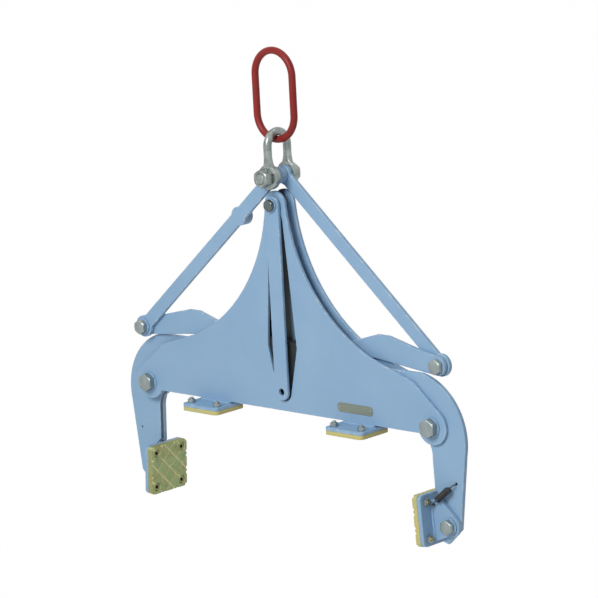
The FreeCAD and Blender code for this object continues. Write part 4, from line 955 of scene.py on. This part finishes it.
ALUMINIUM = ("bare_plate", brushed_tag())
TAG_X = 169.5
TAG_Z = 10.5
TAG_THICK = 1.0
RIVET_OUT = 36.5
RIVET_RADIUS = 1.6
RIVET_HIGH = 0.9
points, faces, _ = cut_plate(rounded(41.5, 8.5, 7, TAG_X, TAG_Z), [], TAG_THICK, 0.25, 0.8)
settle("blank_tag", facing(points, -PLATE_OUTER - TAG_THICK), faces, "frame", ALUMINIUM, ["name_plate"])
dome_rows = [(RIVET_RADIUS * math.sin(t), RIVET_HIGH * (1 - math.cos(t)))
             for t in np.linspace(0, np.pi / 2, 7)] + [(0, RIVET_HIGH)]
rivets = [across_plates(dome_rows, x, TAG_Z, -PLATE_OUTER - TAG_THICK - RIVET_HIGH, steps=32)
          for x in (TAG_X - RIVET_OUT, TAG_X + RIVET_OUT)]
settle("tag_dome_rivets", *joined(rivets), "frame", ZINC, ["name_plate_rivets"])


# Studio: the tongs hang clear of a pale floor in soft even light, seen from their front right.
# The background is plain white; the floor keeps the shadow.
def pale_floor():
    """Matt pale floor that shows white to the camera and in reflections, less the shadow that falls on it."""
    material, tree, shader, _ = new_finish("pale_floor")
    shader.inputs["Base Color"].default_value = (0.9, 0.9, 0.9, 1)
    shader.inputs["Roughness"].default_value = 0.9
    rays = tree.nodes.new("ShaderNodeLightPath").outputs
    glow = tree.nodes.new("ShaderNodeEmission")
    mix = tree.nodes.new("ShaderNodeMixShader")
    seen = reckoned(tree, "MAXIMUM", rays["Is Camera Ray"], rays["Is Glossy Ray"])
    tree.links.new(ramped(tree, seen, 0.0, 1.0, 0.0, 0.995), mix.inputs["Fac"])
    tree.links.new(shader.outputs["BSDF"], mix.inputs[1])
    tree.links.new(glow.outputs["Emission"], mix.inputs[2])
    tree.links.new(mix.outputs["Shader"], tree.nodes["Material Output"].inputs["Surface"])
    return material


FLOOR_HALF = 30
FLOOR_LEVEL = -1.5
floor_mesh = bpy.data.meshes.new("floor")
corners = [(FLOOR_HALF * x, FLOOR_HALF * y, FLOOR_LEVEL) for x, y in ((-1, -1), (1, -1), (1, 1), (-1, 1))]
floor_mesh.from_pydata(corners, [], [(0, 1, 2, 3)])
floor_mesh.materials.append(pale_floor())
floor = in_scene("floor", floor_mesh)

world = bpy.data.worlds.new("studio")
bpy.context.scene.world = world
world.use_nodes = True
tree = world.node_tree
sky = tree.nodes["Background"]
sky.inputs["Color"].default_value = (1, 1, 1, 1)
rays = tree.nodes.new("ShaderNodeLightPath").outputs
through = reckoned(tree, "MAXIMUM", rays["Is Glossy Ray"], rays["Is Transmission Ray"])
seen = reckoned(tree, "MAXIMUM", rays["Is Camera Ray"], through)
tree.links.new(ramped(tree, seen, 0.0, 1.0, 0.18, 1.0), sky.inputs["Strength"])


def soft_lamp(name, place, aim, size, power):
    """Square area lamp at a place, turned to its aim."""
    lamp = bpy.data.lights.new(name, "AREA")
    lamp.size = size
    lamp.energy = power
    holder = in_scene(name, lamp)
    holder.location = place
    holder.rotation_euler = (Vector(aim) - Vector(place)).to_track_quat("-Z", "Y").to_euler()


soft_lamp("key_lamp", (0.65, -3.5, 1.7), (0, 0, -0.45), 1.8, 120)
soft_lamp("fill_lamp", (3.6, -1.2, 0.4), (0, 0, -0.45), 2.4, 3)
soft_lamp("top_lamp", (0.3, 0.6, 3.0), (0, 0, -0.3), 2.0, 25)

PHOTO_WIDE = 598
FOCAL_PIXELS = 3280.92
DISTANCE = 5.82215
AZIMUTH = math.radians(43.449)
ELEVATION = math.radians(11.442)
ROLL = math.radians(-3.022)
TARGET = Vector((0.031992, 0, -0.437553))
aimed = (Matrix.Rotation(AZIMUTH, 4, "Z") @ Matrix.Rotation(math.pi / 2 - ELEVATION, 4, "X")
         @ Matrix.Rotation(ROLL, 4, "Z"))
lens = bpy.data.cameras.new("photo_camera")
lens.sensor_width = 36.0
lens.sensor_fit = "HORIZONTAL"
lens.lens = FOCAL_PIXELS / PHOTO_WIDE * 36.0
lens.clip_end = 100.0
lens.shift_x = 0.5 / PHOTO_WIDE
lens.shift_y = 0.75 / PHOTO_WIDE
camera = in_scene("photo_camera", lens)
camera.matrix_world = Matrix.Translation(TARGET + aimed.col[2].to_3d() * DISTANCE) @ aimed
bpy.context.scene.camera = camera
bpy.context.scene.view_settings.view_transform = "Standard"
